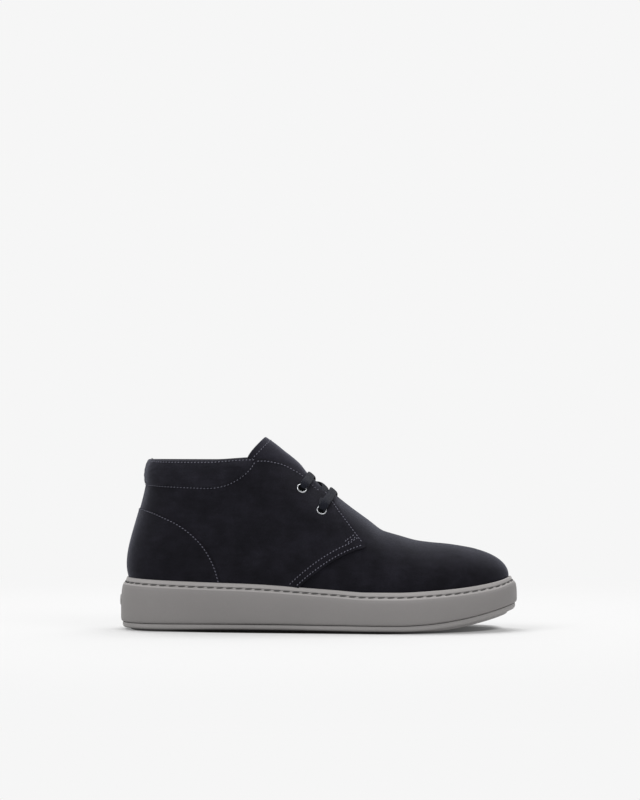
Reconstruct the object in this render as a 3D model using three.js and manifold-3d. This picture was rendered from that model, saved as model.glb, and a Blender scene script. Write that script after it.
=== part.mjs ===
import * as THREE from 'three';
import { mergeVertices } from 'three/addons/utils/BufferGeometryUtils.js';
import Module from 'manifold-3d';

// A right chukka boot, standing on its sole. Millimetres, +X to the toe,
// +Y to the inner side of the foot, +Z up.
const wasm = await Module();
wasm.setup();

// Driving dimensions.
const soleLength = 300;
const ballWidth = 108;
const heelHeight = 128.3;      // floor to the collar's edge over the heel
const instepHeight = 99.2;     // floor to the ridge, where the throat ends
const toeSwing = 6;            // how far the toe's tip lies inwards of the heel's axis
const toeSpring = 14.6;        // lift of the sole's edge at the toe
const springStart = 212;       // from here the sole curves up
const springLength = 86;
const heelRound = 40;          // length of the round end under the heel
const toeRound = 100;
const heelRoundness = 2.2;
const toeRoundness = 2.1;
const outsoleGauge = 6;
const wall = 2.2;              // leather and lining of the upper
const clear = 0.3;             // gap between pieces that touch
const rimWidth = 6;            // the cup's wall at its top
const bevelDrop = 5.6;         // from the bead down to the outer lip of the rim
const footbedHeel = 18;        // top of the cup's floor under the heel
const footbedBall = 12;
const insoleGauge = 3.7;
const tongueGauge = 3;
const collarBand = 0.82;       // where the padded collar starts, along each rib
const throatEnd = 0.575;       // first rib that runs up to the closed ridge
const featherInset = rimWidth + clear;
const eyeletPlaces = {
  upper: { x: 139.4, z: 106.9 },
  lower: { x: 154.7, z: 90.6 },
};

// The sole's outline: half widths as a share of the ball's width.
const outlineRows = [
  { along: 0.00, lateral: 0.366, medial: 0.347 },
  { along: 0.13, lateral: 0.366, medial: 0.343 },
  { along: 0.27, lateral: 0.372, medial: 0.334 },
  { along: 0.40, lateral: 0.392, medial: 0.345 },
  { along: 0.53, lateral: 0.446, medial: 0.408 },
  { along: 0.67, lateral: 0.502, medial: 0.478 },
  { along: 0.78, lateral: 0.513, medial: 0.487 },
  { along: 1.00, lateral: 0.510, medial: 0.482 },
];

// Top of the cup's rim above the floor.
const rimRows = [
  { x: 0, height: 40.0 },
  { x: 60, height: 37.4 },
  { x: 106, height: 35.9 },
  { x: 136, height: 34.1 },
  { x: 166, height: 32.2 },
  { x: 190, height: 30.7 },
  { x: 212, height: 30.7 },
  { x: 242, height: 32.2 },
  { x: 257, height: 33.5 },
  { x: 272, height: 35.4 },
  { x: 287, height: 38.2 },
  { x: 300, height: 42.8 },
];

// The ridge: the top line of instep, vamp and toe, heights as a share of the instep's.
const ridgeRows = [
  { x: 104, rise: 1.510 },
  { x: 121, rise: 1.391 },
  { x: 139, rise: 1.238 },
  { x: 152, rise: 1.125 },
  { x: 166, rise: 1.000 },
  { x: 184.5, rise: 0.859 },
  { x: 200, rise: 0.752 },
  { x: 212, rise: 0.710 },
  { x: 230, rise: 0.669 },
  { x: 248, rise: 0.651 },
  { x: 262, rise: 0.630 },
  { x: 272, rise: 0.614 },
];

// One row for each main rib of the upper, from the heel's back (u = 0) to the toe's
// tip (u = 1). The top is on the collar, then on the throat's edge, then on the ridge.
// topRise is the top's height as a share of the heel's, except on the ridge. rise and
// flare set how the rib leaves the sole, reach and steep how it meets its top.
const ribRows = [
  { u: 0.000, topX: 20.6, topY: 0.0, topRise: 1.000, rise: 22, flare: 7.5, reach: 37, steep: 88 },
  { u: 0.100, topX: 26.5, topY: 15.3, topRise: 0.998, rise: 22, flare: 6.6, reach: 37, steep: 88 },
  { u: 0.200, topX: 42.4, topY: 26.7, topRise: 0.996, rise: 22, flare: 5.0, reach: 36, steep: 87 },
  { u: 0.300, topX: 68.0, topY: 31.0, topRise: 0.995, rise: 24, flare: 4.0, reach: 34, steep: 85 },
  { u: 0.400, topX: 96.0, topY: 28.5, topRise: 1.008, rise: 26, flare: 3.0, reach: 34, steep: 78 },
  { u: 0.450, topX: 110.0, topY: 24.5, topRise: 1.010, rise: 27, flare: 3.0, reach: 32, steep: 68 },
  { u: 0.500, topX: 123.0, topY: 20.5, topRise: 0.991, rise: 28, flare: 3.0, reach: 29, steep: 56 },
  { u: 0.530, topX: 137.0, topY: 17.0, topRise: 0.930, rise: 28, flare: 3.0, reach: 26, steep: 44 },
  { u: 0.560, topX: 154.0, topY: 15.5, topRise: 0.814, rise: 28, flare: 3.0, reach: 24, steep: 32 },
  { u: 0.568, topX: 159.0, topY: 10.5, topRise: 0.806, rise: 28, flare: 3.0, reach: 26, steep: 18 },
  { u: 0.575, topX: 161.5, topY: 0.0, topRise: 0.813, rise: 28, flare: 3.0, reach: 29, steep: 0 },
  { u: 0.600, topX: 173.0, topY: 0.0, topRise: 0.742, rise: 27, flare: 3.0, reach: 28, steep: 0 },
  { u: 0.700, topX: 221.0, topY: 0.0, topRise: 0.556, rise: 22, flare: 3.0, reach: 29, steep: 0 },
  { u: 0.800, topX: 247.0, topY: 0.0, topRise: 0.528, rise: 17, flare: 2.5, reach: 27, steep: 0 },
  { u: 0.900, topX: 258.5, topY: 0.0, topRise: 0.514, rise: 12, flare: 1.9, reach: 23, steep: 0 },
  { u: 1.000, topX: 262.0, topY: 0.0, topRise: 0.510, rise: 9.5, flare: 0.8, reach: 21, steep: 0 },
];
const ribSteps = [3, 3, 3, 3, 2, 2, 2, 2, 1, 1, 2, 4, 3, 3, 4];

// The tongue's sections: middle on the ridge less its depth, half width, and how far
// the edges hang below the middle.
const tongueRows = [
  { x: 109.7, depth: 0.0, half: 18.0, drop: 17 },
  { x: 118, depth: 0.0, half: 19.0, drop: 17 },
  { x: 127, depth: 0.0, half: 19.0, drop: 17 },
  { x: 136, depth: 0.3, half: 18.5, drop: 17 },
  { x: 144, depth: 1.8, half: 18.0, drop: 17 },
  { x: 152, depth: 2.2, half: 17.5, drop: 16 },
  { x: 160, depth: 3.2, half: 17.0, drop: 15 },
  { x: 170, depth: 3.4, half: 17.0, drop: 14 },
  { x: 182, depth: 3.8, half: 17.0, drop: 13 },
  { x: 192, depth: 4.2, half: 16.0, drop: 12 },
];

// A value of a table between its rows: a cubic that never overshoots them.
function between(rows, key, column, at) {
  const last = rows.length - 1;
  const rate = (i) => (rows[i + 1][column] - rows[i][column]) / (rows[i + 1][key] - rows[i][key]);
  const slope = (i) => {
    if (i === 0) return rate(0);
    if (i === last) return rate(last - 1);
    const before = rate(i - 1);
    const after = rate(i);
    return before * after <= 0 ? 0 : 2 * before * after / (before + after);
  };
  const found = rows.findLastIndex((row) => row[key] <= at);
  const i = THREE.MathUtils.clamp(found, 0, last - 1);
  const span = rows[i + 1][key] - rows[i][key];
  const t = THREE.MathUtils.clamp((at - rows[i][key]) / span, 0, 1);
  const low = rows[i][column];
  const high = rows[i + 1][column];
  return low * (1 + 2 * t) * (1 - t) ** 2 + high * t * t * (3 - 2 * t)
    + span * (slope(i) * t * (1 - t) ** 2 - slope(i + 1) * t * t * (1 - t));
}

// Lines of the sole and last.
const spring = (x) => toeSpring * (Math.max(0, x - springStart) / springLength) ** 2;
const axisY = (x) => toeSwing * (Math.max(0, x / soleLength - 0.4) / 0.6) ** 1.5;
const rimTop = (x) => between(rimRows, 'x', 'height', x);
const ridge = (x) => instepHeight * between(ridgeRows, 'x', 'rise', x);
const ridgeSlope = (x) => (ridge(x + 2) - ridge(x - 2)) / 4;
const parting = (x) => outsoleGauge + spring(x);

function footbed(x) {
  const ramp = THREE.MathUtils.smoothstep(x, 60, 200);
  return footbedHeel + (footbedBall - footbedHeel) * ramp + spring(x);
}

function halfWidth(x, side, inset) {
  const column = side < 0 ? 'lateral' : 'medial';
  const full = ballWidth * between(outlineRows, 'along', column, x / soleLength) - inset;
  const heel = Math.max(0, (heelRound - x) / (heelRound - inset));
  const toe = Math.max(0, (x - soleLength + toeRound) / (toeRound - inset));
  const round = (reach, power) => Math.max(0, 1 - reach ** power) ** (1 / power);
  return full * round(heel, heelRoundness) * round(toe, toeRoundness);
}

// A point of the outline, drawn in by inset: u runs from heel to toe, side is -1
// on the outer side of the foot and +1 on the inner side.
function edge(u, side, inset) {
  const x = inset + (soleLength - 2 * inset) * (1 - Math.cos(Math.PI * u)) / 2;
  return new THREE.Vector2(x, axisY(x) + side * halfWidth(x, side, inset));
}

function outward(u, side) {
  const before = edge(Math.max(0, u - 0.01), side, featherInset);
  const after = edge(Math.min(1, u + 0.01), side, featherInset);
  const along = after.sub(before).normalize();
  if (u === 0) return new THREE.Vector2(-1, 0);
  if (u === 1) return new THREE.Vector2(1, 0);
  return new THREE.Vector2(-side * along.y, side * along.x);
}

// The u of every rib: each gap between two rows of the table in equal steps.
const ribs = [0];
ribSteps.forEach((steps, row) => {
  for (let step = 1; step <= steps; step += 1) {
    ribs.push(THREE.MathUtils.lerp(ribRows[row].u, ribRows[row + 1].u, step / steps));
  }
});
const toeRib = ribs.length - 1;

// Rings of the outline, stacked and capped: a closed body.
function stackRings(rings) {
  const count = 2 * toeRib;
  const positions = [];
  const index = [];
  for (const ring of rings) {
    for (let k = 0; k < count; k += 1) {
      const rib = k <= toeRib ? k : count - k;
      const point = edge(ribs[rib], k <= toeRib ? -1 : 1, ring.inset);
      positions.push(point.x, point.y, ring.height(point.x));
    }
  }
  const quad = (a, b, c, d) => index.push(a, b, c, a, c, d);
  for (let level = 0; level < rings.length - 1; level += 1) {
    for (let k = 0; k < count; k += 1) {
      const next = (k + 1) % count;
      const low = level * count;
      quad(low + k, low + next, low + count + next, low + count + k);
    }
  }
  const top = (rings.length - 1) * count;
  const across = (rib) => (count - rib) % count;
  for (let rib = 0; rib < toeRib; rib += 1) {
    const corners = [rib, rib + 1, across(rib + 1), across(rib)];
    if (rib === 0) corners.pop();
    if (rib === toeRib - 1) corners.splice(2, 1);
    for (let k = 1; k < corners.length - 1; k += 1) {
      index.push(top + corners[0], top + corners[k], top + corners[k + 1]);
      index.push(corners[0], corners[k + 1], corners[k]);
    }
  }
  return bodyOf(positions, index);
}

function bodyOf(positions, index) {
  const geometry = new THREE.BufferGeometry();
  geometry.setAttribute('position', new THREE.Float32BufferAttribute(positions, 3));
  geometry.setIndex(index);
  return geometry;
}

// An open skin made a wall: from and to say how far in each face of it lies.
function wallOf(points, normals, index, from, to) {
  const count = points.length;
  const positions = [];
  for (const depth of [from, to]) {
    points.forEach((point, k) => {
      positions.push(...point.clone().addScaledVector(normals[k], -depth(k)).toArray());
    });
  }
  const faces = [...index];
  const edges = new Set();
  for (let k = 0; k < index.length; k += 3) {
    const [a, b, c] = index.slice(k, k + 3);
    faces.push(count + a, count + c, count + b);
    [[a, b], [b, c], [c, a]].forEach(([p, q]) => edges.add(`${p} ${q}`));
  }
  for (const name of edges) {
    const [p, q] = name.split(' ').map(Number);
    if (edges.has(`${q} ${p}`)) continue;
    faces.push(q, p, count + p);
    faces.push(q, count + p, count + q);
  }
  return bodyOf(positions, faces);
}

function normalsOf(points, index) {
  const geometry = bodyOf(points.flatMap((point) => point.toArray()), index);
  geometry.computeVertexNormals();
  const normal = geometry.getAttribute('normal');
  return points.map((point, k) => new THREE.Vector3().fromBufferAttribute(normal, k));
}

// One rib of the upper, from the sole's feather line to its top.
function ribCurve(u, side) {
  const value = (column) => between(ribRows, 'u', column, u);
  const foot = edge(u, side, featherInset);
  const out = outward(u, side);
  const topX = value('topX');
  const onRidge = u >= throatEnd;
  const topZ = onRidge ? ridge(topX) : heelHeight * value('topRise');
  const base = new THREE.Vector3(foot.x, foot.y, rimTop(foot.x));
  const top = new THREE.Vector3(topX, axisY(topX), topZ);
  top.y += onRidge ? 0 : side * value('topY');
  const steep = THREE.MathUtils.degToRad(value('steep'));
  const fall = onRidge ? ridgeSlope(topX) * out.x : -Math.sin(steep);
  const lean = onRidge ? 1 : Math.cos(steep);
  const lower = new THREE.Vector3(out.x, out.y, 0).multiplyScalar(value('flare'));
  lower.z = value('rise');
  const upper = new THREE.Vector3(out.x * lean, out.y * lean, fall).multiplyScalar(value('reach'));
  return new THREE.CubicBezierCurve3(base, lower.add(base), upper.add(top), top);
}

// The outer skin of the whole upper. Level 0 is its hem inside the cup, level 1 the
// feather line at the rim, and the last level the collar, the throat and the ridge.
const levels = [0, 0.07, 0.15, 0.25, 0.36, 0.47, 0.59, 0.71, collarBand, 0.89, 0.95, 1];
const topLevel = levels.length;

function makeSkin() {
  const points = [];
  const levelOf = [];
  const places = new Map();
  const place = (side, rib, level) => {
    const shared = rib === 0 || rib === toeRib;
    const closed = level === topLevel && ribs[rib] >= throatEnd;
    const name = `${shared || closed ? 0 : side} ${rib} ${level}`;
    if (!places.has(name)) {
      const curve = ribCurve(ribs[rib], side);
      const point = curve.getPoint(levels[Math.max(0, level - 1)]);
      if (level === 0) point.z = footbed(point.x) + clear;
      places.set(name, points.length);
      points.push(point);
      levelOf.push(level);
    }
    return places.get(name);
  };
  const patch = (firstLevel, lastRib) => {
    const index = [];
    for (const side of [-1, 1]) {
      for (let rib = 0; rib < lastRib; rib += 1) {
        for (let level = firstLevel; level < topLevel; level += 1) {
          const corners = [
            place(side, rib, level),
            place(side, rib + 1, level),
            place(side, rib + 1, level + 1),
            place(side, rib, level + 1),
          ];
          if (side > 0) corners.reverse();
          const [a, b, c, d] = corners;
          index.push(a, b, c, a, c, d);
        }
      }
    }
    return index;
  };
  const index = patch(0, toeRib);
  return { points, levelOf, index, patch, normals: normalsOf(points, index) };
}

const skin = makeSkin();

// The place and outward normal of the skin nearest to a side-view position.
function onSkin(x, z, side) {
  let best = { gap: Infinity };
  for (let u = 0.45; u < 0.6; u += 0.0025) {
    const curve = ribCurve(u, side);
    for (let t = 0.5; t <= 1; t += 0.0125) {
      const point = curve.getPoint(t);
      const gap = Math.hypot(point.x - x, point.z - z);
      if (gap < best.gap) best = { gap, point, u, t };
    }
  }
  const step = 0.004;
  const along = ribCurve(best.u + step, side).getPoint(best.t)
    .sub(ribCurve(best.u - step, side).getPoint(best.t));
  const up = ribCurve(best.u, side).getTangent(best.t);
  const normal = along.cross(up).multiplyScalar(-side).normalize();
  return { point: best.point, normal };
}

// Solids for joining and cutting.
function solidOf(geometry) {
  const bare = geometry.clone();
  bare.deleteAttribute('normal');
  bare.deleteAttribute('uv');
  const merged = mergeVertices(bare, 1e-4);
  return new wasm.Manifold(new wasm.Mesh({
    numProp: 3,
    vertProperties: new Float32Array(merged.getAttribute('position').array),
    triVerts: new Uint32Array(merged.index.array),
  }));
}

function geometryOf(solid) {
  const mesh = solid.getMesh();
  return bodyOf(Array.from(mesh.vertProperties), Array.from(mesh.triVerts));
}

function pieceOf(name, geometry, finish) {
  const mesh = new THREE.Mesh(geometry, new THREE.MeshStandardMaterial(finish));
  mesh.name = name;
  return mesh;
}

const finishes = {
  suede: { color: 0x26252a, roughness: 0.95, metalness: 0 },
  lining: { color: 0x2c2b30, roughness: 0.9, metalness: 0 },
  soleRubber: { color: 0x7f7d7c, roughness: 0.7, metalness: 0 },
  treadRubber: { color: 0x747271, roughness: 0.75, metalness: 0 },
  insoleCloth: { color: 0x2a292d, roughness: 0.95, metalness: 0 },
  eyeletMetal: { color: 0xb9bbbf, roughness: 0.3, metalness: 1 },
  laceCloth: { color: 0x1d1d24, roughness: 0.9, metalness: 0 },
};

// The cup: floor, side wall and the bevelled rim with its stitch channel.
function makeCupsole() {
  const lip = (x) => rimTop(x) - bevelDrop;
  const up = (share) => (x) => THREE.MathUtils.lerp(parting(x) + clear, lip(x), share);
  const rim = (drop) => (x) => rimTop(x) - drop;
  const geometry = stackRings([
    { inset: 1.1, height: up(0) },
    { inset: 0.2, height: up(0.08) },
    { inset: 0, height: up(0.45) },
    { inset: 0.7, height: up(0.82) },
    { inset: 2.0, height: up(1) },
    { inset: 2.7, height: rim(4.9) },
    { inset: 3.4, height: rim(3.6) },
    { inset: 4.6, height: rim(0.9) },
    { inset: 5.3, height: rim(0) },
    { inset: rimWidth, height: rim(0.5) },
    { inset: rimWidth, height: footbed },
  ]);
  return pieceOf('cupsole', geometry, finishes.soleRubber);
}

// The tread: a strip under the cup, drawn in towards the floor, with cross grooves
// under the ball and heel and a shallow hollow under the arch.
function makeOutsole() {
  const above = (gauge) => (x) => spring(x) + gauge;
  let solid = solidOf(stackRings([
    { inset: 6.8, height: above(0) },
    { inset: 5.6, height: above(1.4) },
    { inset: 2.2, height: above(2.2) },
    { inset: 1.4, height: above(3.4) },
    { inset: 1.4, height: above(outsoleGauge) },
  ]));
  const hollow = (x, length, depth, margin) => {
    const low = axisY(x) - halfWidth(x, -1, margin);
    const high = axisY(x) + halfWidth(x, 1, margin);
    const tool = new THREE.BoxGeometry(length, high - low, 2 * depth);
    tool.translate(x, (low + high) / 2, spring(x));
    solid = solid.subtract(solidOf(tool));
  };
  const grooveWidth = 3;
  const grooveDepth = 2;
  const lugPitch = 12;
  const margin = 13;
  for (let x = 18; x <= 78; x += lugPitch) hollow(x, grooveWidth, grooveDepth, margin);
  hollow(116, 44, 1.5, margin);
  for (let x = 160; x <= 256; x += lugPitch) hollow(x, grooveWidth, grooveDepth, margin);
  return pieceOf('outsole', geometryOf(solid), finishes.treadRubber);
}

function makeInsole() {
  const inset = featherInset + wall + 0.7;
  const geometry = stackRings([
    { inset, height: (x) => footbed(x) + clear },
    { inset, height: (x) => footbed(x) + clear + insoleGauge },
  ]);
  return pieceOf('insole', geometry, finishes.insoleCloth);
}

const holeRadius = 2.6;
const barrelRadius = 3.0;
const flangeRadius = 4.1;
const flangeSeat = 1.1;        // underside of the flange, over the skin's facets
const flangeProud = 1.8;

function makeUpper(seats) {
  const shell = wallOf(skin.points, skin.normals, skin.index, () => 0, () => wall);
  let solid = solidOf(shell);
  for (const seat of seats) {
    const drill = new THREE.CylinderGeometry(barrelRadius + clear, barrelRadius + clear, 14, 16);
    drill.applyQuaternion(turnTo(seat.normal));
    drill.translate(...seat.point.toArray());
    solid = solid.subtract(solidOf(drill));
  }
  return pieceOf('upper', geometryOf(solid), finishes.suede);
}

// The padded lining of the collar: a crescent inside the top of the upper, with its
// thickness at each level from the seam up to the edge.
function makeCollarPad() {
  const thickness = [0.9, 3.6, 4.2, 3.0];
  const firstLevel = topLevel - thickness.length + 1;
  const lastRib = ribs.findIndex((u) => u >= 0.45);
  const index = skin.patch(firstLevel, lastRib);
  const used = [...new Set(index)];
  const fresh = new Map(used.map((old, k) => [old, k]));
  const inner = clear + wall;
  return pieceOf('collar_pad', wallOf(
    used.map((old) => skin.points[old]),
    used.map((old) => skin.normals[old]),
    index.map((old) => fresh.get(old)),
    () => inner,
    (k) => inner + thickness[skin.levelOf[used[k]] - firstLevel],
  ), finishes.lining);
}

function makeTongue() {
  const across = 10;
  const hang = THREE.MathUtils.degToRad(75);
  const points = [];
  const index = [];
  for (const row of tongueRows) {
    const slope = ridgeSlope(row.x);
    const inward = new THREE.Vector3(slope, 0, -1).normalize();
    for (let k = 0; k <= across; k += 1) {
      const turn = hang * (2 * k / across - 1);
      const sink = row.depth + row.drop * (1 - Math.cos(turn)) / (1 - Math.cos(hang));
      const point = new THREE.Vector3(row.x, axisY(row.x), ridge(row.x));
      point.addScaledVector(inward, sink);
      point.y += row.half * Math.sin(turn) / Math.sin(hang);
      points.push(point);
    }
  }
  const width = across + 1;
  for (let row = 0; row < tongueRows.length - 1; row += 1) {
    for (let k = 0; k < across; k += 1) {
      const a = row * width + k;
      index.push(a, a + width, a + width + 1, a, a + width + 1, a + 1);
    }
  }
  const normals = normalsOf(points, index);
  const geometry = wallOf(points, normals, index, () => 0, () => tongueGauge);
  return pieceOf('tongue', geometry, finishes.suede);
}

function turnTo(direction) {
  return new THREE.Quaternion().setFromUnitVectors(new THREE.Vector3(0, 1, 0), direction);
}

function makeEyelet(name, seat) {
  const profile = [
    [holeRadius, -wall - 0.6],
    [barrelRadius, -wall - 0.6],
    [barrelRadius, flangeSeat],
    [flangeRadius, flangeSeat],
    [flangeRadius, flangeSeat + 0.4],
    [flangeRadius - 0.4, flangeProud],
    [barrelRadius, flangeProud],
    [holeRadius, flangeSeat + 0.4],
    [holeRadius, -wall - 0.6],
  ].map(([radius, height]) => new THREE.Vector2(radius, height));
  const mesh = pieceOf(name, new THREE.LatheGeometry(profile, 16), finishes.eyeletMetal);
  mesh.quaternion.copy(turnTo(seat.normal));
  mesh.position.copy(seat.point);
  return mesh;
}

// A flat lace over the instep: a band of four-sided sections along a curve.
function laceBar(start, finish, crossX, lift) {
  const width = 6.2;
  const thickness = 1.2;
  const steps = 14;
  const overRidge = new THREE.Vector3(crossX, axisY(crossX), ridge(crossX));
  const ridgeUp = new THREE.Vector3(-ridgeSlope(crossX), 0, 1).normalize();
  const stops = [
    start.point.clone().addScaledVector(start.normal, lift),
    shoulder(start, overRidge, ridgeUp, lift),
    overRidge.clone().addScaledVector(ridgeUp, lift - 1.2),
    shoulder(finish, overRidge, ridgeUp, lift),
    finish.point.clone().addScaledVector(finish.normal, lift),
  ];
  const ups = [start.normal, null, ridgeUp, null, finish.normal];
  ups[1] = start.normal.clone().add(ridgeUp).normalize();
  ups[3] = finish.normal.clone().add(ridgeUp).normalize();
  const path = new THREE.CatmullRomCurve3(stops, false, 'centripetal');
  const positions = [];
  const index = [];
  for (let step = 0; step <= steps; step += 1) {
    const t = step / steps;
    const point = path.getPoint(t);
    const tangent = path.getTangent(t);
    const first = Math.min(3, Math.floor(t * 4));
    const up = ups[first].clone().lerp(ups[first + 1], t * 4 - first).normalize();
    const sideways = new THREE.Vector3().crossVectors(tangent, up).normalize();
    up.crossVectors(sideways, tangent).normalize();
    for (const [across, high] of [[-1, 0], [1, 0], [1, 1], [-1, 1]]) {
      const corner = point.clone().addScaledVector(sideways, across * width / 2);
      positions.push(...corner.addScaledVector(up, high * thickness).toArray());
    }
  }
  for (let step = 0; step < steps; step += 1) {
    for (let k = 0; k < 4; k += 1) {
      const a = 4 * step + k;
      const b = 4 * step + (k + 1) % 4;
      index.push(a, b + 4, b, a, a + 4, b + 4);
    }
  }
  const end = 4 * steps;
  index.push(0, 1, 2, 0, 2, 3, end, end + 2, end + 1, end, end + 3, end + 2);
  return bodyOf(positions, index);
}

// Where a lace bends over the edge of the throat, between its eyelet and the ridge.
function shoulder(seat, overRidge, ridgeUp, lift) {
  const bulge = 3.2;
  const middle = seat.point.clone().lerp(overRidge, 0.45);
  const up = seat.normal.clone().add(ridgeUp).normalize();
  return middle.addScaledVector(up, lift + bulge);
}

function makeLace(seats) {
  const lift = flangeProud + clear + 0.6;
  const bars = [
    laceBar(seats.lateral_upper, seats.medial_upper, 145.5, lift),
    laceBar(seats.lateral_lower, seats.medial_lower, 159, lift),
    laceBar(seats.lateral_lower, seats.medial_upper, 151, lift + 0.9),
  ];
  const solid = bars.map(solidOf).reduce((whole, bar) => whole.add(bar));
  return pieceOf('lace', geometryOf(solid), finishes.laceCloth);
}

const seats = {};
for (const [sideName, side] of [['lateral', -1], ['medial', 1]]) {
  for (const [row, place] of Object.entries(eyeletPlaces)) {
    seats[`${sideName}_${row}`] = onSkin(place.x, place.z, side);
  }
}

const boot = new THREE.Group();
boot.add(makeOutsole());
boot.add(makeCupsole());
boot.add(makeInsole());
boot.add(makeUpper(Object.values(seats)));
boot.add(makeCollarPad());
boot.add(makeTongue());
for (const [name, seat] of Object.entries(seats)) boot.add(makeEyelet(`eyelet_${name}`, seat));
boot.add(makeLace(seats));

// The origin is on the floor under the middle of the boot's box.
const box = new THREE.Box3().setFromObject(boot);
const middle = box.getCenter(new THREE.Vector3());
boot.position.set(-middle.x, -middle.y, -box.min.z);

export default boot;
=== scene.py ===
"""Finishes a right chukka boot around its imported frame: suede, linings, seams, laces and sole."""

import math

import bmesh
import bpy
import numpy as np
from bpy.props import FloatProperty, FloatVectorProperty, PointerProperty
from mathutils import Matrix, Vector


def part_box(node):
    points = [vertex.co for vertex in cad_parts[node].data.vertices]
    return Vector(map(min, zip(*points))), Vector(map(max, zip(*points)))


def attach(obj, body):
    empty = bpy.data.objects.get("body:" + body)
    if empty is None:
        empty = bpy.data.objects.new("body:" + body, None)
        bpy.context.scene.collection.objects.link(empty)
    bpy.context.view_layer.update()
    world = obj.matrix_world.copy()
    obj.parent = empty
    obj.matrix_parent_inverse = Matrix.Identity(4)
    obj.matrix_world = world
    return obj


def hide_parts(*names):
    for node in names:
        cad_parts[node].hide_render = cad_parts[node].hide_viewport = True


bl_info = {
    "name": "Chukka Boot",
    "version": (1, 0, 0),
    "blender": (4, 5, 0),
    "location": "View3D > Sidebar > Boot",
    "description": "Builds the finish of a suede chukka boot on a rubber cup sole",
    "category": "Object",
}

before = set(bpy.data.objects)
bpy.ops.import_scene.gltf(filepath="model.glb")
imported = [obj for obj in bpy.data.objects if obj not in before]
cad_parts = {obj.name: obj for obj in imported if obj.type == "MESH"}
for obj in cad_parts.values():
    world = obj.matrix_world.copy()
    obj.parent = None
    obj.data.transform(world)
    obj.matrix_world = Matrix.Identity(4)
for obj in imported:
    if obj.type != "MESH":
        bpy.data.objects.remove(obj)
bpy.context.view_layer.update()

# ---------------------------------------------------------------- the boot's own sizes, in mm

SOLE_LENGTH = 300.0
BALL_WIDTH = 108.0
HEEL_HEIGHT = 128.3
INSTEP_HEIGHT = 99.2
TOE_SWING = 6.0
TOE_SPRING = 14.6
SPRING_START = 212.0
SPRING_LENGTH = 86.0
HEEL_ROUND = 40.0
TOE_ROUND = 100.0
HEEL_ROUNDNESS = 2.2
TOE_ROUNDNESS = 2.1
TREAD_GAUGE = 6.0
WALL = 2.2
CLEAR = 0.3
RIM_WIDTH = 6.0
BEVEL_DROP = 5.6
FOOTBED_HEEL = 18.0
FOOTBED_BALL = 12.0
THROAT_END = 0.575
FEATHER_INSET = RIM_WIDTH + CLEAR
TUCK = 0.05  # how far panels run down behind the rim, as a share of a rib
LEATHER = 1.25  # gauge of one layer of suede
UPPER_GAUGE = 1.4
TONGUE_GAUGE = 2.7
COUNTER_GAUGE = 0.7
COUNTER_PROUD = 0.55  # how far the counter's face stands over the quarter's
QUARTER_PROUD = 1.8  # how far the quarter stands over the vamp at its edge
QUARTER_FADE = 20.0  # the distance over which that step dies away
LACE_GAUGE = 1.25
THREAD_WIDTH = 0.72
THREAD_HEIGHT = 0.62
THREAD_SLANT = 14.0  # degrees that each stitch turns from its row
THREAD_PROUD = 0.12  # how far a stitch's middle stands over the face
EYELET_PLACES = {"upper": (139.4, 106.9), "lower": (154.7, 90.6)}


class Table:
    """Rows of numbers under named columns, read between its rows by a cubic with no overshoot."""

    def __init__(self, columns, rows):
        self.columns = columns.split()
        self.rows = np.array(rows, float)

    def __call__(self, column, at):
        x = self.rows[:, 0]
        y = self.rows[:, self.columns.index(column)]
        rate = np.diff(y) / np.diff(x)
        before, after = rate[:-1], rate[1:]
        both = before * after
        total = np.where(both > 0, before + after, 1.0)
        inner = np.where(both > 0, 2 * both / total, 0.0)
        slope = np.concatenate([rate[:1], inner, rate[-1:]])
        at = np.asarray(at, float)
        i = np.clip(np.searchsorted(x, at, side="right") - 1, 0, len(x) - 2)
        span = x[i + 1] - x[i]
        t = np.clip((at - x[i]) / span, 0, 1)
        value = y[i] * (1 + 2 * t) * (1 - t) ** 2 + y[i + 1] * t * t * (3 - 2 * t)
        return value + span * (slope[i] * t * (1 - t) ** 2 - slope[i + 1] * t * t * (1 - t))


OUTLINE = Table("along lateral medial", [
    (0.00, 0.366, 0.347),
    (0.13, 0.366, 0.343),
    (0.27, 0.372, 0.334),
    (0.40, 0.392, 0.345),
    (0.53, 0.446, 0.408),
    (0.67, 0.502, 0.478),
    (0.78, 0.513, 0.487),
    (1.00, 0.510, 0.482),
])

RIM = Table("x height", [
    (0, 40.0), (60, 37.4), (106, 35.9), (136, 34.1), (166, 32.2), (190, 30.7),
    (212, 30.7), (242, 32.2), (257, 33.5), (272, 35.4), (287, 38.2), (300, 42.8),
])

RIDGE = Table("x rise", [
    (104, 1.510), (121, 1.391), (139, 1.238), (152, 1.125), (166, 1.000), (184.5, 0.859),
    (200, 0.752), (212, 0.710), (230, 0.669), (248, 0.651), (262, 0.630), (272, 0.614),
])

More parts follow.
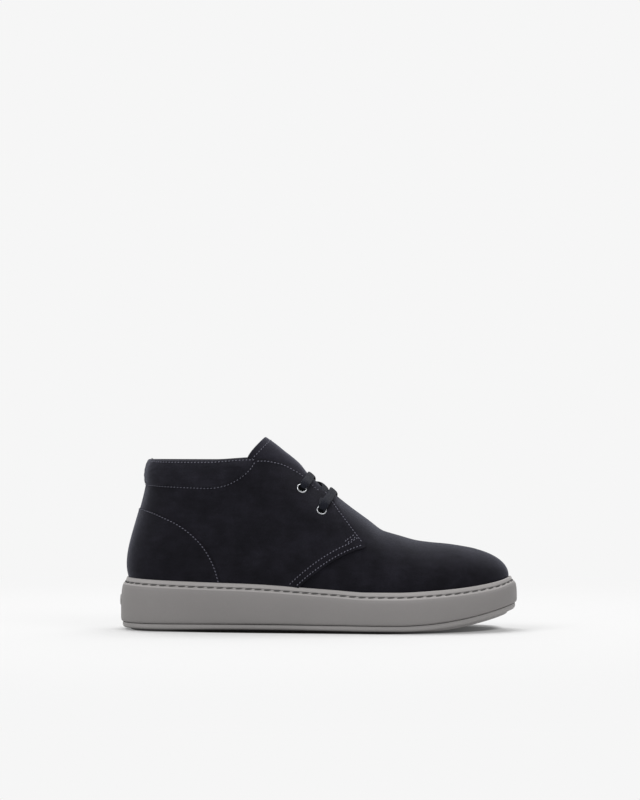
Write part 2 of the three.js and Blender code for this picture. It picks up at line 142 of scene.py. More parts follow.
# The upper's main ribs, from the heel's back (0) to the toe's tip (1).
RIBS = Table("u top_x top_y top_rise rise flare reach steep", [
    (0.000, 20.6, 0.0, 1.000, 22, 7.5, 37, 88),
    (0.100, 26.5, 15.3, 0.998, 22, 6.6, 37, 88),
    (0.200, 42.4, 26.7, 0.996, 22, 5.0, 36, 87),
    (0.300, 68.0, 31.0, 0.995, 24, 4.0, 34, 85),
    (0.400, 96.0, 28.5, 1.008, 26, 3.0, 34, 78),
    (0.450, 110.0, 24.5, 1.010, 27, 3.0, 32, 68),
    (0.500, 123.0, 20.5, 0.991, 28, 3.0, 29, 56),
    (0.530, 137.0, 17.0, 0.930, 28, 3.0, 26, 44),
    (0.560, 154.0, 15.5, 0.814, 28, 3.0, 24, 32),
    (0.568, 159.0, 10.5, 0.806, 28, 3.0, 26, 18),
    (0.575, 161.5, 0.0, 0.813, 28, 3.0, 29, 0),
    (0.600, 173.0, 0.0, 0.742, 27, 3.0, 28, 0),
    (0.700, 221.0, 0.0, 0.556, 22, 3.0, 29, 0),
    (0.800, 247.0, 0.0, 0.528, 17, 2.5, 27, 0),
    (0.900, 258.5, 0.0, 0.514, 12, 1.9, 23, 0),
    (1.000, 262.0, 0.0, 0.510, 9.5, 0.8, 21, 0),
])

TONGUE = Table("x depth half drop", [
    (109.7, 0.0, 18.0, 17),
    (118, 0.0, 19.0, 17),
    (127, 0.0, 19.0, 17),
    (136, 0.3, 18.5, 17),
    (144, 1.8, 18.0, 17),
    (152, 2.2, 17.5, 16),
    (160, 3.2, 17.0, 15),
    (170, 3.4, 17.0, 14),
    (182, 3.8, 17.0, 13),
    (192, 4.2, 16.0, 12),
])

# Pattern lines in the side view: x of the quarter's front edge, and of the counter's
# seam, at each height; and the height of the collar's seam at each x.
QUARTER_EDGE = Table("z x", [
    (33.0, 137.2), (42.2, 148.0), (51.0, 160.2), (57.6, 171.8), (61.4, 180.6), (63.6, 188.4),
    (66.0, 187.4), (73.0, 182.0), (81.0, 175.4), (88.0, 170.0), (97.5, 162.4), (106.0, 156.0),
])
COUNTER_SEAM = Table("z x", [
    (35.0, 79.6), (47.5, 76.1), (56.7, 71.8), (65.2, 66.0), (73.2, 57.8), (79.9, 48.2),
    (84.4, 38.6), (89.0, 26.6), (91.8, 12.0),
])
COLLAR_SEAM = Table("x z", [
    (12.0, 110.4), (40.0, 108.9), (71.0, 108.0), (81.5, 109.6), (91.6, 114.2), (99.8, 120.8),
    (103.6, 126.0), (105.4, 131.0),
])


def spring(x):
    """How far the sole's underside has risen off the floor at each x."""
    return TOE_SPRING * (np.maximum(0, x - SPRING_START) / SPRING_LENGTH) ** 2


def axis_y(x):
    """The middle line of the foot, which swings inwards towards the toe."""
    return TOE_SWING * (np.maximum(0, x / SOLE_LENGTH - 0.4) / 0.6) ** 1.5


def rim_top(x):
    """The height of the cup's rim at each x."""
    return RIM("height", x)


def ridge(x):
    """The height of the instep's ridge at each x."""
    return INSTEP_HEIGHT * RIDGE("rise", x)


def ridge_slope(x):
    """The slope of the instep's ridge at each x."""
    return (ridge(x + 2) - ridge(x - 2)) / 4


def smooth(value, low, high):
    """A soft step from 0 at low to 1 at high."""
    t = np.clip((value - low) / (high - low), 0, 1)
    return t * t * (3 - 2 * t)


def footbed(x):
    """The height of the floor inside the cup at each x."""
    return FOOTBED_HEEL + (FOOTBED_BALL - FOOTBED_HEEL) * smooth(x, 60, 200) + spring(x)


def half_width(x, side, inset):
    """The sole's width from its middle line to one side, drawn in by inset."""
    share = np.where(side < 0, OUTLINE("lateral", x / SOLE_LENGTH), OUTLINE("medial", x / SOLE_LENGTH))
    heel = np.maximum(0, (HEEL_ROUND - x) / (HEEL_ROUND - inset))
    toe = np.maximum(0, (x - SOLE_LENGTH + TOE_ROUND) / (TOE_ROUND - inset))
    heel = np.maximum(0, 1 - heel ** HEEL_ROUNDNESS) ** (1 / HEEL_ROUNDNESS)
    toe = np.maximum(0, 1 - toe ** TOE_ROUNDNESS) ** (1 / TOE_ROUNDNESS)
    return (BALL_WIDTH * share - inset) * heel * toe


def outline(u, side, inset):
    """The sole's outline drawn in by inset: u from heel to toe, side -1 outer and 1 inner."""
    x = inset + (SOLE_LENGTH - 2 * inset) * (1 - np.cos(np.pi * u)) / 2
    return x, axis_y(x) + side * half_width(x, side, inset)


def skin(u, t, side):
    """Points of the upper's outer skin: u from heel to toe, t from the rim up to its top."""
    u, t, side = np.broadcast_arrays(*[np.asarray(value, float) for value in (u, t, side)])
    foot_x, foot_y = outline(u, side, FEATHER_INSET)
    x0, y0 = outline(np.maximum(0, u - 0.01), side, FEATHER_INSET)
    x1, y1 = outline(np.minimum(1, u + 0.01), side, FEATHER_INSET)
    length = np.hypot(x1 - x0, y1 - y0)
    out_x, out_y = -side * (y1 - y0) / length, side * (x1 - x0) / length
    out_x = np.where(u <= 0, -1.0, np.where(u >= 1, 1.0, out_x))
    out_y = np.where((u <= 0) | (u >= 1), 0.0, out_y)
    closed = u >= THROAT_END
    top_x = RIBS("top_x", u)
    top_y = axis_y(top_x) + np.where(closed, 0.0, side * RIBS("top_y", u))
    top_z = np.where(closed, ridge(top_x), HEEL_HEIGHT * RIBS("top_rise", u))
    steep = np.radians(RIBS("steep", u))
    lean = np.where(closed, 1.0, np.cos(steep))
    fall = np.where(closed, ridge_slope(top_x) * out_x, -np.sin(steep))
    flare, rise, reach = RIBS("flare", u), RIBS("rise", u), RIBS("reach", u)
    foot = np.stack([foot_x, foot_y, rim_top(foot_x)], -1)
    top = np.stack([top_x, top_y, top_z], -1)
    lower = foot + np.stack([out_x * flare, out_y * flare, rise], -1)
    upper = top + np.stack([out_x * lean * reach, out_y * lean * reach, fall * reach], -1)
    w = np.clip(t, 0, 1)[..., None]
    point = foot * (1 - w) ** 3 + 3 * lower * w * (1 - w) ** 2 + 3 * upper * w * w * (1 - w) + top * w ** 3
    point[..., 2] += np.minimum(0, t) * 90
    return point


def skin_frame(u, t, side, lift=0.0):
    """Points on the skin, raised by lift, with the outward normals there."""
    u, t, side = np.broadcast_arrays(*[np.asarray(value, float) for value in (u, t, side)])
    end = np.where(u < THROAT_END, THROAT_END - 1e-6, 1)
    low, high = np.maximum(0, u - 0.003), np.minimum(end, u + 0.003)
    along = skin(high, t, side) - skin(low, t, side)
    up = skin(u, np.minimum(1, t + 0.005), side) - skin(u, t - 0.005, side)
    normal = np.cross(along, up) * -side[..., None]
    normal /= np.linalg.norm(normal, axis=-1, keepdims=True)
    normal = np.where((u <= 0)[..., None], normal * [1, 0, 1], normal)
    return skin(u, t, side) + normal * np.asarray(lift)[..., None], normal


def locate(x, z, side):
    """The u and t of side-view positions on the skin."""
    x, z = np.asarray(x, float), np.asarray(z, float)
    us, ts = np.meshgrid(np.linspace(0.02, 0.98, 97), np.linspace(0, 1, 61))
    points = skin(us, ts, side)
    u, t = np.empty(x.shape), np.empty(x.shape)
    for k in range(x.size):
        gap = np.hypot(points[..., 0] - x[k], points[..., 2] - z[k])
        best = np.unravel_index(np.argmin(gap), gap.shape)
        u[k], t[k] = us[best], ts[best]
    for _ in range(12):
        here = skin(u, t, side)
        du = (skin(u + 1e-4, t, side) - here) / 1e-4
        dt = (skin(u, np.clip(t + 1e-4, 0, 1), side) - here) / 1e-4
        ex, ez = x - here[..., 0], z - here[..., 2]
        det = du[..., 0] * dt[..., 2] - du[..., 2] * dt[..., 0]
        det = np.where(np.abs(det) < 1e-3, 1e-3, det)
        u = np.clip(u + np.clip((ex * dt[..., 2] - ez * dt[..., 0]) / det, -0.02, 0.02), 0, 1)
        t = np.clip(t + np.clip((du[..., 0] * ez - du[..., 2] * ex) / det, -0.05, 0.05), 0, 1)
    return u, t


def crossing(line, t, side, low, high):
    """The last u at which each level t still lies behind a side-view line of x against height."""
    t = np.asarray(t, float)
    u = np.linspace(low, high, 500)
    point = skin(u[None, :], t[:, None], side)
    ahead = point[..., 0] - line("x", point[..., 2])
    last = np.where(ahead < 0, np.arange(len(u)), 0).max(axis=1).clip(0, len(u) - 2)
    rows = np.arange(len(t))
    before, after = ahead[rows, last], ahead[rows, last + 1]
    share = np.clip(-before / np.maximum(after - before, 1e-9), 0, 1)
    return u[last] + share * (u[1] - u[0])


def quarter_span(side, ribs=700):
    """The ribs that the quarter covers, with the lowest and highest level that it has on each."""
    u, t = np.linspace(0, 0.63, ribs), np.linspace(0, 1, 700)
    point = skin(u[:, None], t[None, :], side)
    ahead = point[..., 0] - QUARTER_EDGE("x", point[..., 2])
    covered = ahead < 0
    count = ribs - int(np.argmax(covered.any(axis=1)[::-1]))
    rows = np.arange(count)
    first, last = covered.argmax(axis=1)[:count], (len(t) - 1 - covered[:, ::-1].argmax(axis=1))[:count]
    before, after = np.maximum(first - 1, 0), np.minimum(last + 1, len(t) - 1)
    step = t[1] - t[0]
    enter = ahead[rows, before] / np.maximum(ahead[rows, before] - ahead[rows, first], 1e-9)
    leave = -ahead[rows, last] / np.maximum(ahead[rows, after] - ahead[rows, last], 1e-9)
    low = np.where(first == 0, -TUCK, t[before] + np.clip(enter, 0, 1) * step)
    high = np.where(last == len(t) - 1, 1.0, t[last] + np.clip(leave, 0, 1) * step)
    return u[:count], low, high


QUARTER_SPANS = {side: quarter_span(side) for side in (-1, 1)}


EDGE_HEIGHTS = np.linspace(31, 108, 240)
EDGE_LINE = np.stack([QUARTER_EDGE("x", EDGE_HEIGHTS), EDGE_HEIGHTS], -1)


def quarter_lift(u, t, side):
    """How far the quarter's face stands over the skin: a full layer at its front edge."""
    point = skin(u, t, side)
    gap = np.full(point.shape[:-1], 1e3)
    for x, z in EDGE_LINE:
        gap = np.minimum(gap, np.hypot(point[..., 0] - x, point[..., 2] - z))
    return QUARTER_PROUD * np.exp(-gap / QUARTER_FADE)


# Soft folds pressed into the suede, each a trough or ridge along a line in the side view.
FOLDS = [
    # x, z of one end, x, z of the other, half width, depth
    (196, 72, 206, 50, 7.0, 0.7),
    (206, 74, 222, 56, 6.0, -0.5),
    (150, 66, 118, 84, 10.0, 0.8),
    (112, 62, 92, 92, 9.0, 0.6),
    (60, 88, 96, 80, 9.0, 0.5),
    (46, 60, 76, 52, 9.0, -0.4),
    (232, 66, 262, 60, 8.0, -0.35),
]


def folds(points):
    """The depth of the soft folds at each point of the skin."""
    total = np.zeros(points.shape[:-1])
    x, z = points[..., 0], points[..., 2]
    for x0, z0, x1, z1, width, depth in FOLDS:
        length = math.hypot(x1 - x0, z1 - z0)
        ax, az = (x1 - x0) / length, (z1 - z0) / length
        along = (x - x0) * ax + (z - z0) * az
        beyond = np.maximum(0, np.maximum(-along, along - length))
        off = np.hypot((x - x0) * -az + (z - z0) * ax, beyond)
        total += depth * np.exp(-((off / width) ** 2))
    return total


def face_lift(u, t, side):
    """How far the quarter's creased face stands over the skin."""
    return quarter_lift(u, t, side) - folds(skin(u, t, side))


# ---------------------------------------------------------------- making meshes

SHIFT = np.array([-SOLE_LENGTH / 2, 0.0, 0.0])
SHIFT[1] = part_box("cupsole")[0].y * 1000 - outline(np.linspace(0, 1, 2001), -1, 0)[1].min()


def metres(points):
    """Places in the shared frame, from places in mm along the sole."""
    return (np.asarray(points) + SHIFT) / 1000


def finish_piece(obj, *materials, slot=None, replaces=(), smooth_angle=60):
    """Gives a piece its materials, hides the CAD nodes that it replaces, puts it in the root body and shades
    it smooth; slot is not used.
    """
    for material in materials:
        obj.data.materials.append(material)
    if replaces:
        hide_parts(*replaces)
    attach(obj, "root")
    for polygon in obj.data.polygons:
        polygon.use_smooth = True
    if smooth_angle:
        obj.data.set_sharp_from_angle(angle=math.radians(smooth_angle))
    return obj


def object_from(bm, name):
    """A new object in the scene that takes over the bmesh."""
    mesh = bpy.data.meshes.new(name)
    bm.to_mesh(mesh)
    bm.free()
    obj = bpy.data.objects.new(name, mesh)
    bpy.context.scene.collection.objects.link(obj)
    return obj


def add_sheet(bm, points, outward=None, uv=None):
    """A grid laid through points, (rows, columns, 3) in mm, facing the way of outward."""
    rows, columns = points.shape[:2]
    made = bmesh.ops.create_grid(bm, x_segments=columns - 1, y_segments=rows - 1, size=1)["verts"]
    placed = metres(points)
    where = {}
    for vert in made:
        column = round((vert.co.x + 1) / 2 * (columns - 1))
        row = round((vert.co.y + 1) / 2 * (rows - 1))
        where[vert] = (row, column)
        vert.co = placed[row, column]
    faces = {face for vert in made for face in vert.link_faces}
    if uv is not None:
        layer = bm.loops.layers.uv.verify()
        for face in faces:
            for loop in face.loops:
                row, column = where[loop.vert]
                loop[layer].uv = uv[row, column]
    if outward is not None:
        total = 0.0
        for face in faces:
            face.normal_update()
            row, column = where[face.verts[0]]
            total += face.normal.dot(Vector(outward[row, column])) * face.calc_area()
        if total < 0:
            bmesh.ops.reverse_faces(bm, faces=list(faces))
    return where


def grid_normals(points):
    """Normals of a grid of points, by the cross product of its two directions."""
    normal = np.cross(np.gradient(points, axis=0), np.gradient(points, axis=1))
    return normal / np.maximum(1e-9, np.linalg.norm(normal, axis=-1, keepdims=True))


def modifier(obj, kind, **values):
    """Adds a modifier with these settings."""
    made = obj.modifiers.new(kind.title(), kind)
    for key, value in values.items():
        setattr(made, key, value)
    return made


def solidify(obj, thickness, inner_slot=0, rim_slot=0):
    modifier(
        obj, "SOLIDIFY", thickness=thickness / 1000, offset=-1, use_even_offset=False,
        material_offset=inner_slot, material_offset_rim=rim_slot,
    )


def round_edges(obj, width, segments=2, angle=50):
    modifier(
        obj, "BEVEL", width=width / 1000, segments=segments, limit_method="ANGLE",
        angle_limit=math.radians(angle), profile=0.5,
    )


def close_seams(bm, gap=0.02):
    """Joins the edges of a grid that meet, and drops what that flattens."""
    bmesh.ops.remove_doubles(bm, verts=bm.verts, dist=gap / 1000)
    bmesh.ops.dissolve_degenerate(bm, edges=bm.edges, dist=1e-7)


# ---------------------------------------------------------------- shader groups and materials


class Graph:
    """One node tree, with short ways to add the nodes that the finishes share."""

    def __init__(self, tree):
        self.nodes, self.links = tree.nodes, tree.links

    def put(self, socket, value):
        """Links a node's output to the socket, or sets the socket to a constant."""
        if isinstance(value, bpy.types.NodeSocket):
            self.links.new(value, socket)
        else:
            socket.default_value = value

    def fill(self, node, values):
        """Puts each value in the socket that its name gives, and returns the node."""
        for label, value in values.items():
            self.put(node.inputs[label.replace("_", " ")], value)
        return node

    def add(self, kind, **values):
        return self.fill(self.nodes.new("ShaderNode" + kind), values)

    def group(self, name, **values):
        """Places a shared shader group and returns its outputs."""
        node = self.nodes.new("ShaderNodeGroup")
        node.node_tree = bpy.data.node_groups[name]
        return self.fill(node, values).outputs

    def coordinates(self, which="Object"):
        return self.add("TexCoord").outputs[which]

    def noise(self, vector, scale, detail=4.0, roughness=0.6):
        node = self.add("TexNoise", Vector=vector, Scale=scale, Detail=detail, Roughness=roughness)
        return node.outputs["Fac"]

    def maths(self, operation, *values):
        node = self.nodes.new("ShaderNodeMath")
        node.operation = operation
        for socket, value in zip(node.inputs, values):
            self.put(socket, value)
        return node.outputs[0]

    def weighted(self, first, share, second):
        """Two values together: a share of the first and the rest of the second."""
        return self.maths(
            "ADD", self.maths("MULTIPLY", first, share), self.maths("MULTIPLY", second, 1 - share)
        )

    def scaled(self, value, by, plus):
        return self.maths("ADD", self.maths("MULTIPLY", value, by), plus)

    def faded(self, value, start, end, low=0.0, high=1.0, interpolation="LINEAR"):
        """A value carried from low to high as it goes from start to end."""
        node = self.add("MapRange", Value=value, From_Min=start, From_Max=end, To_Min=low, To_Max=high)
        node.interpolation_type = interpolation
        return node.outputs["Result"]

    def blend(self, factor, first, second):
        """A colour between two colours."""
        node = self.nodes.new("ShaderNodeMix")
        node.data_type = "RGBA"
        for index, value in ((0, factor), (6, first), (7, second)):
            self.put(node.inputs[index], value)
        return node.outputs[2]

    def bump(self, sockets, height, strength, distance):
        node = self.add("Bump", Height=height, Strength=strength, Distance=distance)
        self.put(sockets["Normal"], node.outputs["Normal"])


def new_group(name, inputs, outputs):
    """A shader group with its named inputs, their defaults and its named outputs."""
    group = bpy.data.node_groups.new(name, "ShaderNodeTree")
    for label, default in inputs.items():
        kind = "NodeSocketVector" if isinstance(default, tuple) else "NodeSocketFloat"
        made = group.interface.new_socket(name=label, in_out="INPUT", socket_type=kind)
        made.default_value = default
    for label in outputs:
        group.interface.new_socket(name=label, in_out="OUTPUT", socket_type="NodeSocketFloat")
    given, result = group.nodes.new("NodeGroupInput"), group.nodes.new("NodeGroupOutput")
    return Graph(group), given.outputs, result.inputs


def grain_group():
    """Mottling and nap of a brushed skin: a mask of patches, the nap and a fine height."""
    graph, given, result = new_group(
        "Nap and mottle", {"Vector": (0, 0, 0), "Nap Scale": 2600.0, "Patch Scale": 60.0},
        ("Patches", "Nap", "Height"),
    )
    vector = given["Vector"]
    nap = graph.noise(vector, given["Nap Scale"], 3.0, 0.65)
    patch = graph.noise(vector, given["Patch Scale"], 5.0, 0.55)
    stretch = graph.add("Mapping", Vector=vector, Scale=(0.4, 0.8, 1.0), Rotation=(0.1, 0.25, 0.1))
    brushed = graph.noise(stretch.outputs["Vector"], 260.0)
    graph.put(result["Patches"], graph.weighted(patch, 0.65, brushed))
    graph.put(result["Nap"], nap)
    graph.put(result["Height"], graph.weighted(nap, 0.7, brushed))


def weave_group():
    """Crossed threads on a piece's own UV map: a mask of the gaps and a height."""
    graph, given, result = new_group(
        "Woven threads", {"Vector": (0, 0, 0), "Along": 800.0, "Across": 800.0}, ("Gaps", "Height")
    )
    split = graph.add("SeparateXYZ", Vector=given["Vector"]).outputs
    along = graph.maths("MULTIPLY", split["X"], given["Along"])
    across = graph.maths("MULTIPLY", split["Y"], given["Across"])
    plus = graph.maths("SINE", graph.maths("ADD", along, across))
    minus = graph.maths("SINE", graph.maths("SUBTRACT", along, across))
    height = graph.maths("MAXIMUM", plus, minus)
    height = graph.maths("MULTIPLY", graph.maths("ADD", height, 1.0), 0.5)
    gaps = graph.maths("SUBTRACT", 1.0, height)
    gaps.node.use_clamp = True
    graph.put(result["Gaps"], gaps)
    graph.put(result["Height"], height)


def principled(name, roughness, **constants):
    """A new material, with these constants set on its own shader."""
    material = bpy.data.materials.new(name)
    material.use_nodes = True
    graph = Graph(material.node_tree)
    shader = graph.fill(graph.nodes["Principled BSDF"], {"Roughness": roughness, **constants})
    return material, graph, shader.inputs


def brightened(colour, by):
    return tuple(min(1.0, value * by) for value in colour)


def toned(colour, by=1.0):
    """A colour made lighter or darker, with its alpha."""
    return (*brightened(colour, by), 1)


def suede_material(name, colour, lighter, darker, nap=2600.0, sheen=0.2, depth=0.0003):
    """Brushed suede: a nap that catches light, with soft lighter and darker patches."""
    material, graph, sockets = principled(
        name, 0.92, Sheen_Weight=sheen, Sheen_Roughness=0.4, Specular_IOR_Level=0.1,
        Sheen_Tint=(0.72, 0.74, 0.9, 1.0),
    )
    grain = graph.group("Nap and mottle", Vector=graph.coordinates(), Nap_Scale=nap)
    patches = graph.add("ValToRGB", Fac=grain["Patches"])
    stops = patches.color_ramp.elements
    for stop, place, tone in ((stops[0], 0.36, darker), (stops[1], 0.66, lighter)):
        stop.position, stop.color = place, toned(tone)
    stops.new(0.5).color = toned(colour)
    scaled = graph.nodes.new("ShaderNodeVectorMath")
    scaled.operation = "SCALE"
    graph.put(scaled.inputs[0], patches.outputs["Color"])
    graph.put(scaled.inputs["Scale"], graph.faded(grain["Nap"], 0.3, 0.7, 0.4, 1.6))
    graph.put(sockets["Base Color"], scaled.outputs["Vector"])
    graph.bump(sockets, grain["Height"], 0.8, depth)
    return material


def rubber_material(name, colour, roughness=0.62, scuffed=False):
    """Moulded rubber with a faint grain; a tread gets painted shade towards its bottom, where it meets the
    floor.
    """
    speck = 0.12
    material, graph, sockets = principled(name, roughness, Specular_IOR_Level=0.35)
    vector = graph.coordinates()
    fine = graph.noise(vector, 1500.0, 2.0, 0.5)
    broad = graph.noise(vector, 18.0, 4.0, 0.55)
    tone = graph.blend(
        graph.weighted(fine, 0.45, broad), toned(colour, 1 - speck), toned(colour, 1 + speck)
    )
    if scuffed:
        # Painted shade: the tread's colour goes dark below about 3 mm, by height.
        height = graph.add("SeparateXYZ", Vector=vector).outputs["Z"]
        tone = graph.blend(graph.faded(height, 0.0030, 0.0012), tone, toned(colour, 0.25))
    graph.put(sockets["Base Color"], tone)
    graph.put(sockets["Roughness"], graph.scaled(broad, 0.2, roughness - 0.1))
    graph.bump(sockets, fine, 0.3, 0.00012)
    return material


def cloth_material(name, colour, gap_shade_colour, along, across, depth=0.0003, which="UV"):
    """Woven cloth, with painted shade in the gaps between its threads."""
    material, graph, sockets = principled(name, 0.9, Sheen_Weight=0.06, Specular_IOR_Level=0.12)
    weave = graph.group("Woven threads", Vector=graph.coordinates(which), Along=along, Across=across)
    mottle = graph.noise(graph.coordinates(), 900.0, 2.0, 0.6)
    # Painted shade: the gaps between threads take the darker colour.
    tone = graph.blend(weave["Gaps"], toned(colour), toned(gap_shade_colour))
    tone = graph.blend(graph.maths("MULTIPLY", mottle, 0.4), tone, toned(colour, 0.75))
    graph.put(sockets["Base Color"], tone)
    graph.bump(sockets, weave["Height"], 0.8, depth)
    return material


def thread_material(name, colour, shine=0.3):
    """Twisted thread."""
    material, graph, sockets = principled(name, 0.7, Specular_IOR_Level=shine)
    twist = graph.noise(graph.coordinates(), 2200.0, 2.0, 0.5)
    graph.put(sockets["Base Color"], graph.blend(twist, toned(colour, 0.7), toned(colour)))
    graph.bump(sockets, twist, 0.4, 0.0001)
    return material


def metal_material(name, colour):
    """Plated metal, finely scuffed."""
    material, graph, sockets = principled(name, 0.24, Metallic=1.0)
    scuff = graph.noise(graph.coordinates(), 1400.0, 3.0, 0.6)
    graph.put(sockets["Base Color"], graph.blend(scuff, toned(colour, 0.85), toned(colour)))
    graph.put(sockets["Roughness"], graph.scaled(scuff, 0.16, 0.16))
    graph.bump(sockets, scuff, 0.08, 0.00005)
    return material


# ---------------------------------------------------------------- settings


def colour_setting(name, description, default):
    return FloatVectorProperty(
        name=name, description=description, subtype="COLOR", size=3, min=0, max=1, default=default
    )


def length_setting(name, description, default, low, high):
    return FloatProperty(
        name=name, description=description, default=default, min=low, max=high, unit="LENGTH"
    )


class BootColours(bpy.types.PropertyGroup):
    """Colours of the boot."""

    suede: colour_setting("Suede", "Colour of the brushed upper", (0.0073, 0.0069, 0.0100))
    collar: colour_setting("Collar", "Colour of the padded collar", (0.0105, 0.0101, 0.0142))
    thread: colour_setting("Thread", "Colour of the upper's stitching", (0.13, 0.13, 0.165))
    cup: colour_setting("Cup sole", "Colour of the rubber cup", (0.202, 0.193, 0.190))
    tread: colour_setting("Tread", "Colour of the tread", (0.262, 0.252, 0.248))
    lace: colour_setting("Lace", "Colour of the flat lace", (0.0072, 0.0080, 0.0130))


class BootSizes(bpy.types.PropertyGroup):
    """Sizes of the boot's finish."""

    stitch_length: length_setting(
        "Stitch length", "Length of one stitch of the upper", 0.0015, 0.001, 0.005
    )
    stitch_pitch: length_setting("Stitch pitch", "From one stitch to the next", 0.0026, 0.0015, 0.006)
    rim_pitch: length_setting(
        "Rim stitch pitch", "From one stitch of the rim to the next", 0.0072, 0.004, 0.012
    )
    collar_puff: length_setting("Collar puff", "How far the padded collar swells", 0.0024, 0.0, 0.004)
    lace_width: length_setting("Lace width", "Width of the flat lace", 0.0066, 0.004, 0.01)


def colours():
    return bpy.context.scene.boot_colours


def sizes():
    return bpy.context.scene.boot_sizes


def made_material(name, maker, *values, **options):
    """The material of this name, made the first time that it is asked for."""
    return bpy.data.materials.get(name) or maker(name, *values, **options)


def suede_in(name, colour, middle, lighter, darker, **options):
    """A suede whose three tones are the colour times these shares."""
    tones = [brightened(colour, by) for by in (middle, lighter, darker)]
    return made_material(name, suede_material, *tones, **options)


def suede():
    return suede_in("Navy suede", colours().suede, 1.0, 1.5, 0.68)


def collar_suede():
    return suede_in("Collar suede", colours().collar, 1.0, 1.45, 0.68)


def lit_tongue_suede():
    # Painted light: the tongue takes a 1.9 times lighter copy of the upper's suede, for its lit face.
    return suede_in("Tongue suede", brightened(colours().suede, 1.9), 1.0, 1.3, 0.8, sheen=0.24)


def lining():
    return suede_in("Lining", colours().collar, 0.8, 1.0, 0.65, nap=1700.0, sheen=0.15, depth=0.00012)


def shaded_cut_edge():
    # The cut edge's own tone, darkened further as painted shade along the panels' edges.
    return suede_in("Cut edge", colours().suede, 0.4, 0.6, 0.3, sheen=0.02)


def thread():
    return made_material("Upper thread", thread_material, tuple(colours().thread))


def rim_thread():
    return made_material("Rim thread", thread_material, brightened(colours().cup, 0.42))


# ---------------------------------------------------------------- stitches


def spaced(points, normals, pitch):
    """Places at even steps along a run of points, with directions and normals."""
    steps = np.linalg.norm(np.diff(points, axis=0), axis=1)
    run = np.concatenate([[0], np.cumsum(steps)])
    count = max(2, int(round(run[-1] / pitch)))
    at = (np.arange(count) + 0.5) * run[-1] / count
    place = np.stack([np.interp(at, run, points[:, k]) for k in range(3)], -1)
    normal = np.stack([np.interp(at, run, normals[:, k]) for k in range(3)], -1)
    ahead = np.stack([np.interp(at + 0.3, run, points[:, k]) for k in range(3)], -1)
    behind = np.stack([np.interp(at - 0.3, run, points[:, k]) for k in range(3)], -1)
    along = ahead - behind
    along /= np.linalg.norm(along, axis=1, keepdims=True)
    return place, along, normal


def add_stitches(bm, points, normals, pitch, length, width, height, slant=0.0):
    """Stitches laid along a run of points: small rounded grains, each a little sunk."""
    for place, along, normal in zip(*spaced(points, normals, pitch)):
        x = Vector(along)
        z = (Vector(normal) - x * Vector(normal).dot(x)).normalized()
        y = z.cross(x)
        if slant:
            turn = Matrix.Rotation(math.radians(slant), 3, z)
            x, y = turn @ x, turn @ y
        matrix = Matrix((
            (x.x * length / 2000, y.x * width / 2000, z.x * height / 2000, 0),
            (x.y * length / 2000, y.y * width / 2000, z.y * height / 2000, 0),
            (x.z * length / 2000, y.z * width / 2000, z.z * height / 2000, 0),
            (0, 0, 0, 1),
        ))
        matrix = Matrix.Translation(Vector(metres(place))) @ matrix
        bmesh.ops.create_icosphere(bm, subdivisions=2, radius=1, matrix=matrix)


def seam_stitches(bm, runs):
    """The upper's own stitches along each run."""
    pitch, length = sizes().stitch_pitch * 1000, sizes().stitch_length * 1000
    for points, normals in runs:
        add_stitches(bm, points, normals, pitch, length, THREAD_WIDTH, THREAD_HEIGHT, THREAD_SLANT)


def side_run(rows, side, lift, samples=60):
    """A run over the skin through side-view places."""
    rows = np.asarray(rows, float)
    run = np.concatenate([[0], np.cumsum(np.hypot(*np.diff(rows, axis=0).T))])
    at = np.linspace(0, run[-1], samples)
    x, z = np.interp(at, run, rows[:, 0]), np.interp(at, run, rows[:, 1])
    u, t = locate(x, z, side)
    return skin_frame(u, t, side, face_lift(u, t, side) + lift)


# ---------------------------------------------------------------- pieces of the upper


def make_upper():
    """The upper's body: vamp and the layer under the quarters, with its lining inside."""
    bm = bmesh.new()
    us = np.concatenate([np.linspace(0, 0.55, 110), np.linspace(0.553, 0.58, 14), np.linspace(0.585, 1, 90)])
    ts = np.linspace(-TUCK, 1, 62)
    u, t = np.meshgrid(us, ts)
    layer = bm.verts.layers.float.new("sink")
    for side in (-1, 1):
        points = skin(u, t, side)
        under = points[..., 0] < QUARTER_EDGE("x", points[..., 2])
        sink = np.where(under, np.minimum(0, quarter_lift(u, t, side) - LEATHER - 0.15), 0.0) - folds(points)
        where = add_sheet(bm, points, grid_normals(points) * side)
        for vert, (row, column) in where.items():
            vert[layer] = sink[row, column]
    close_seams(bm)
    bm.normal_update()
    moves = {vert: vert.normal * vert[layer] / 1000 for vert in bm.verts}
    for vert, move in moves.items():
        vert.co += move
    obj = object_from(bm, "upper_body")
    finish_piece(obj, suede(), lining(), slot="suede", replaces=("upper",))
    solidify(obj, UPPER_GAUGE, inner_slot=1, rim_slot=0)
    return obj


def quarter_grid(columns=150, rows=90):
    """Levels along ribs from one quarter's corner, round the heel, to the other's."""
    halves = []
    for side in (-1, 1):
        ribs, low, high = QUARTER_SPANS[side]
        u = np.linspace(0, 1, columns + 1) ** 0.9 * ribs[-1]
        share = np.linspace(0, 1, rows)[:, None]
        bottom, top = np.interp(u, ribs, low), np.interp(u, ribs, high)
        halves.append((np.broadcast_to(u, (rows, len(u))), bottom + (top - bottom) * share))
    (u0, t0), (u1, t1) = halves
    side = np.concatenate([np.full(u0.shape, -1.0)[:, ::-1], np.full(u1.shape, 1.0)[:, 1:]], axis=1)
    return (np.concatenate([u0[:, ::-1], u1[:, 1:]], axis=1),
            np.concatenate([t0[:, ::-1], t1[:, 1:]], axis=1), side)


def make_quarters():
    """Both quarters in one piece round the heel, lying over the vamp at the front."""
    u, t, side = quarter_grid()
    points = skin(u, t, side)
    out = grid_normals(points)
    lifted = points + out * (quarter_lift(u, t, side) - folds(points))[..., None]
    bm = bmesh.new()
    add_sheet(bm, lifted, out)
    obj = object_from(bm, "quarters")
    finish_piece(obj, suede(), shaded_cut_edge(), slot="suede")
    solidify(obj, LEATHER, rim_slot=1)
    round_edges(obj, 0.4)
    return obj


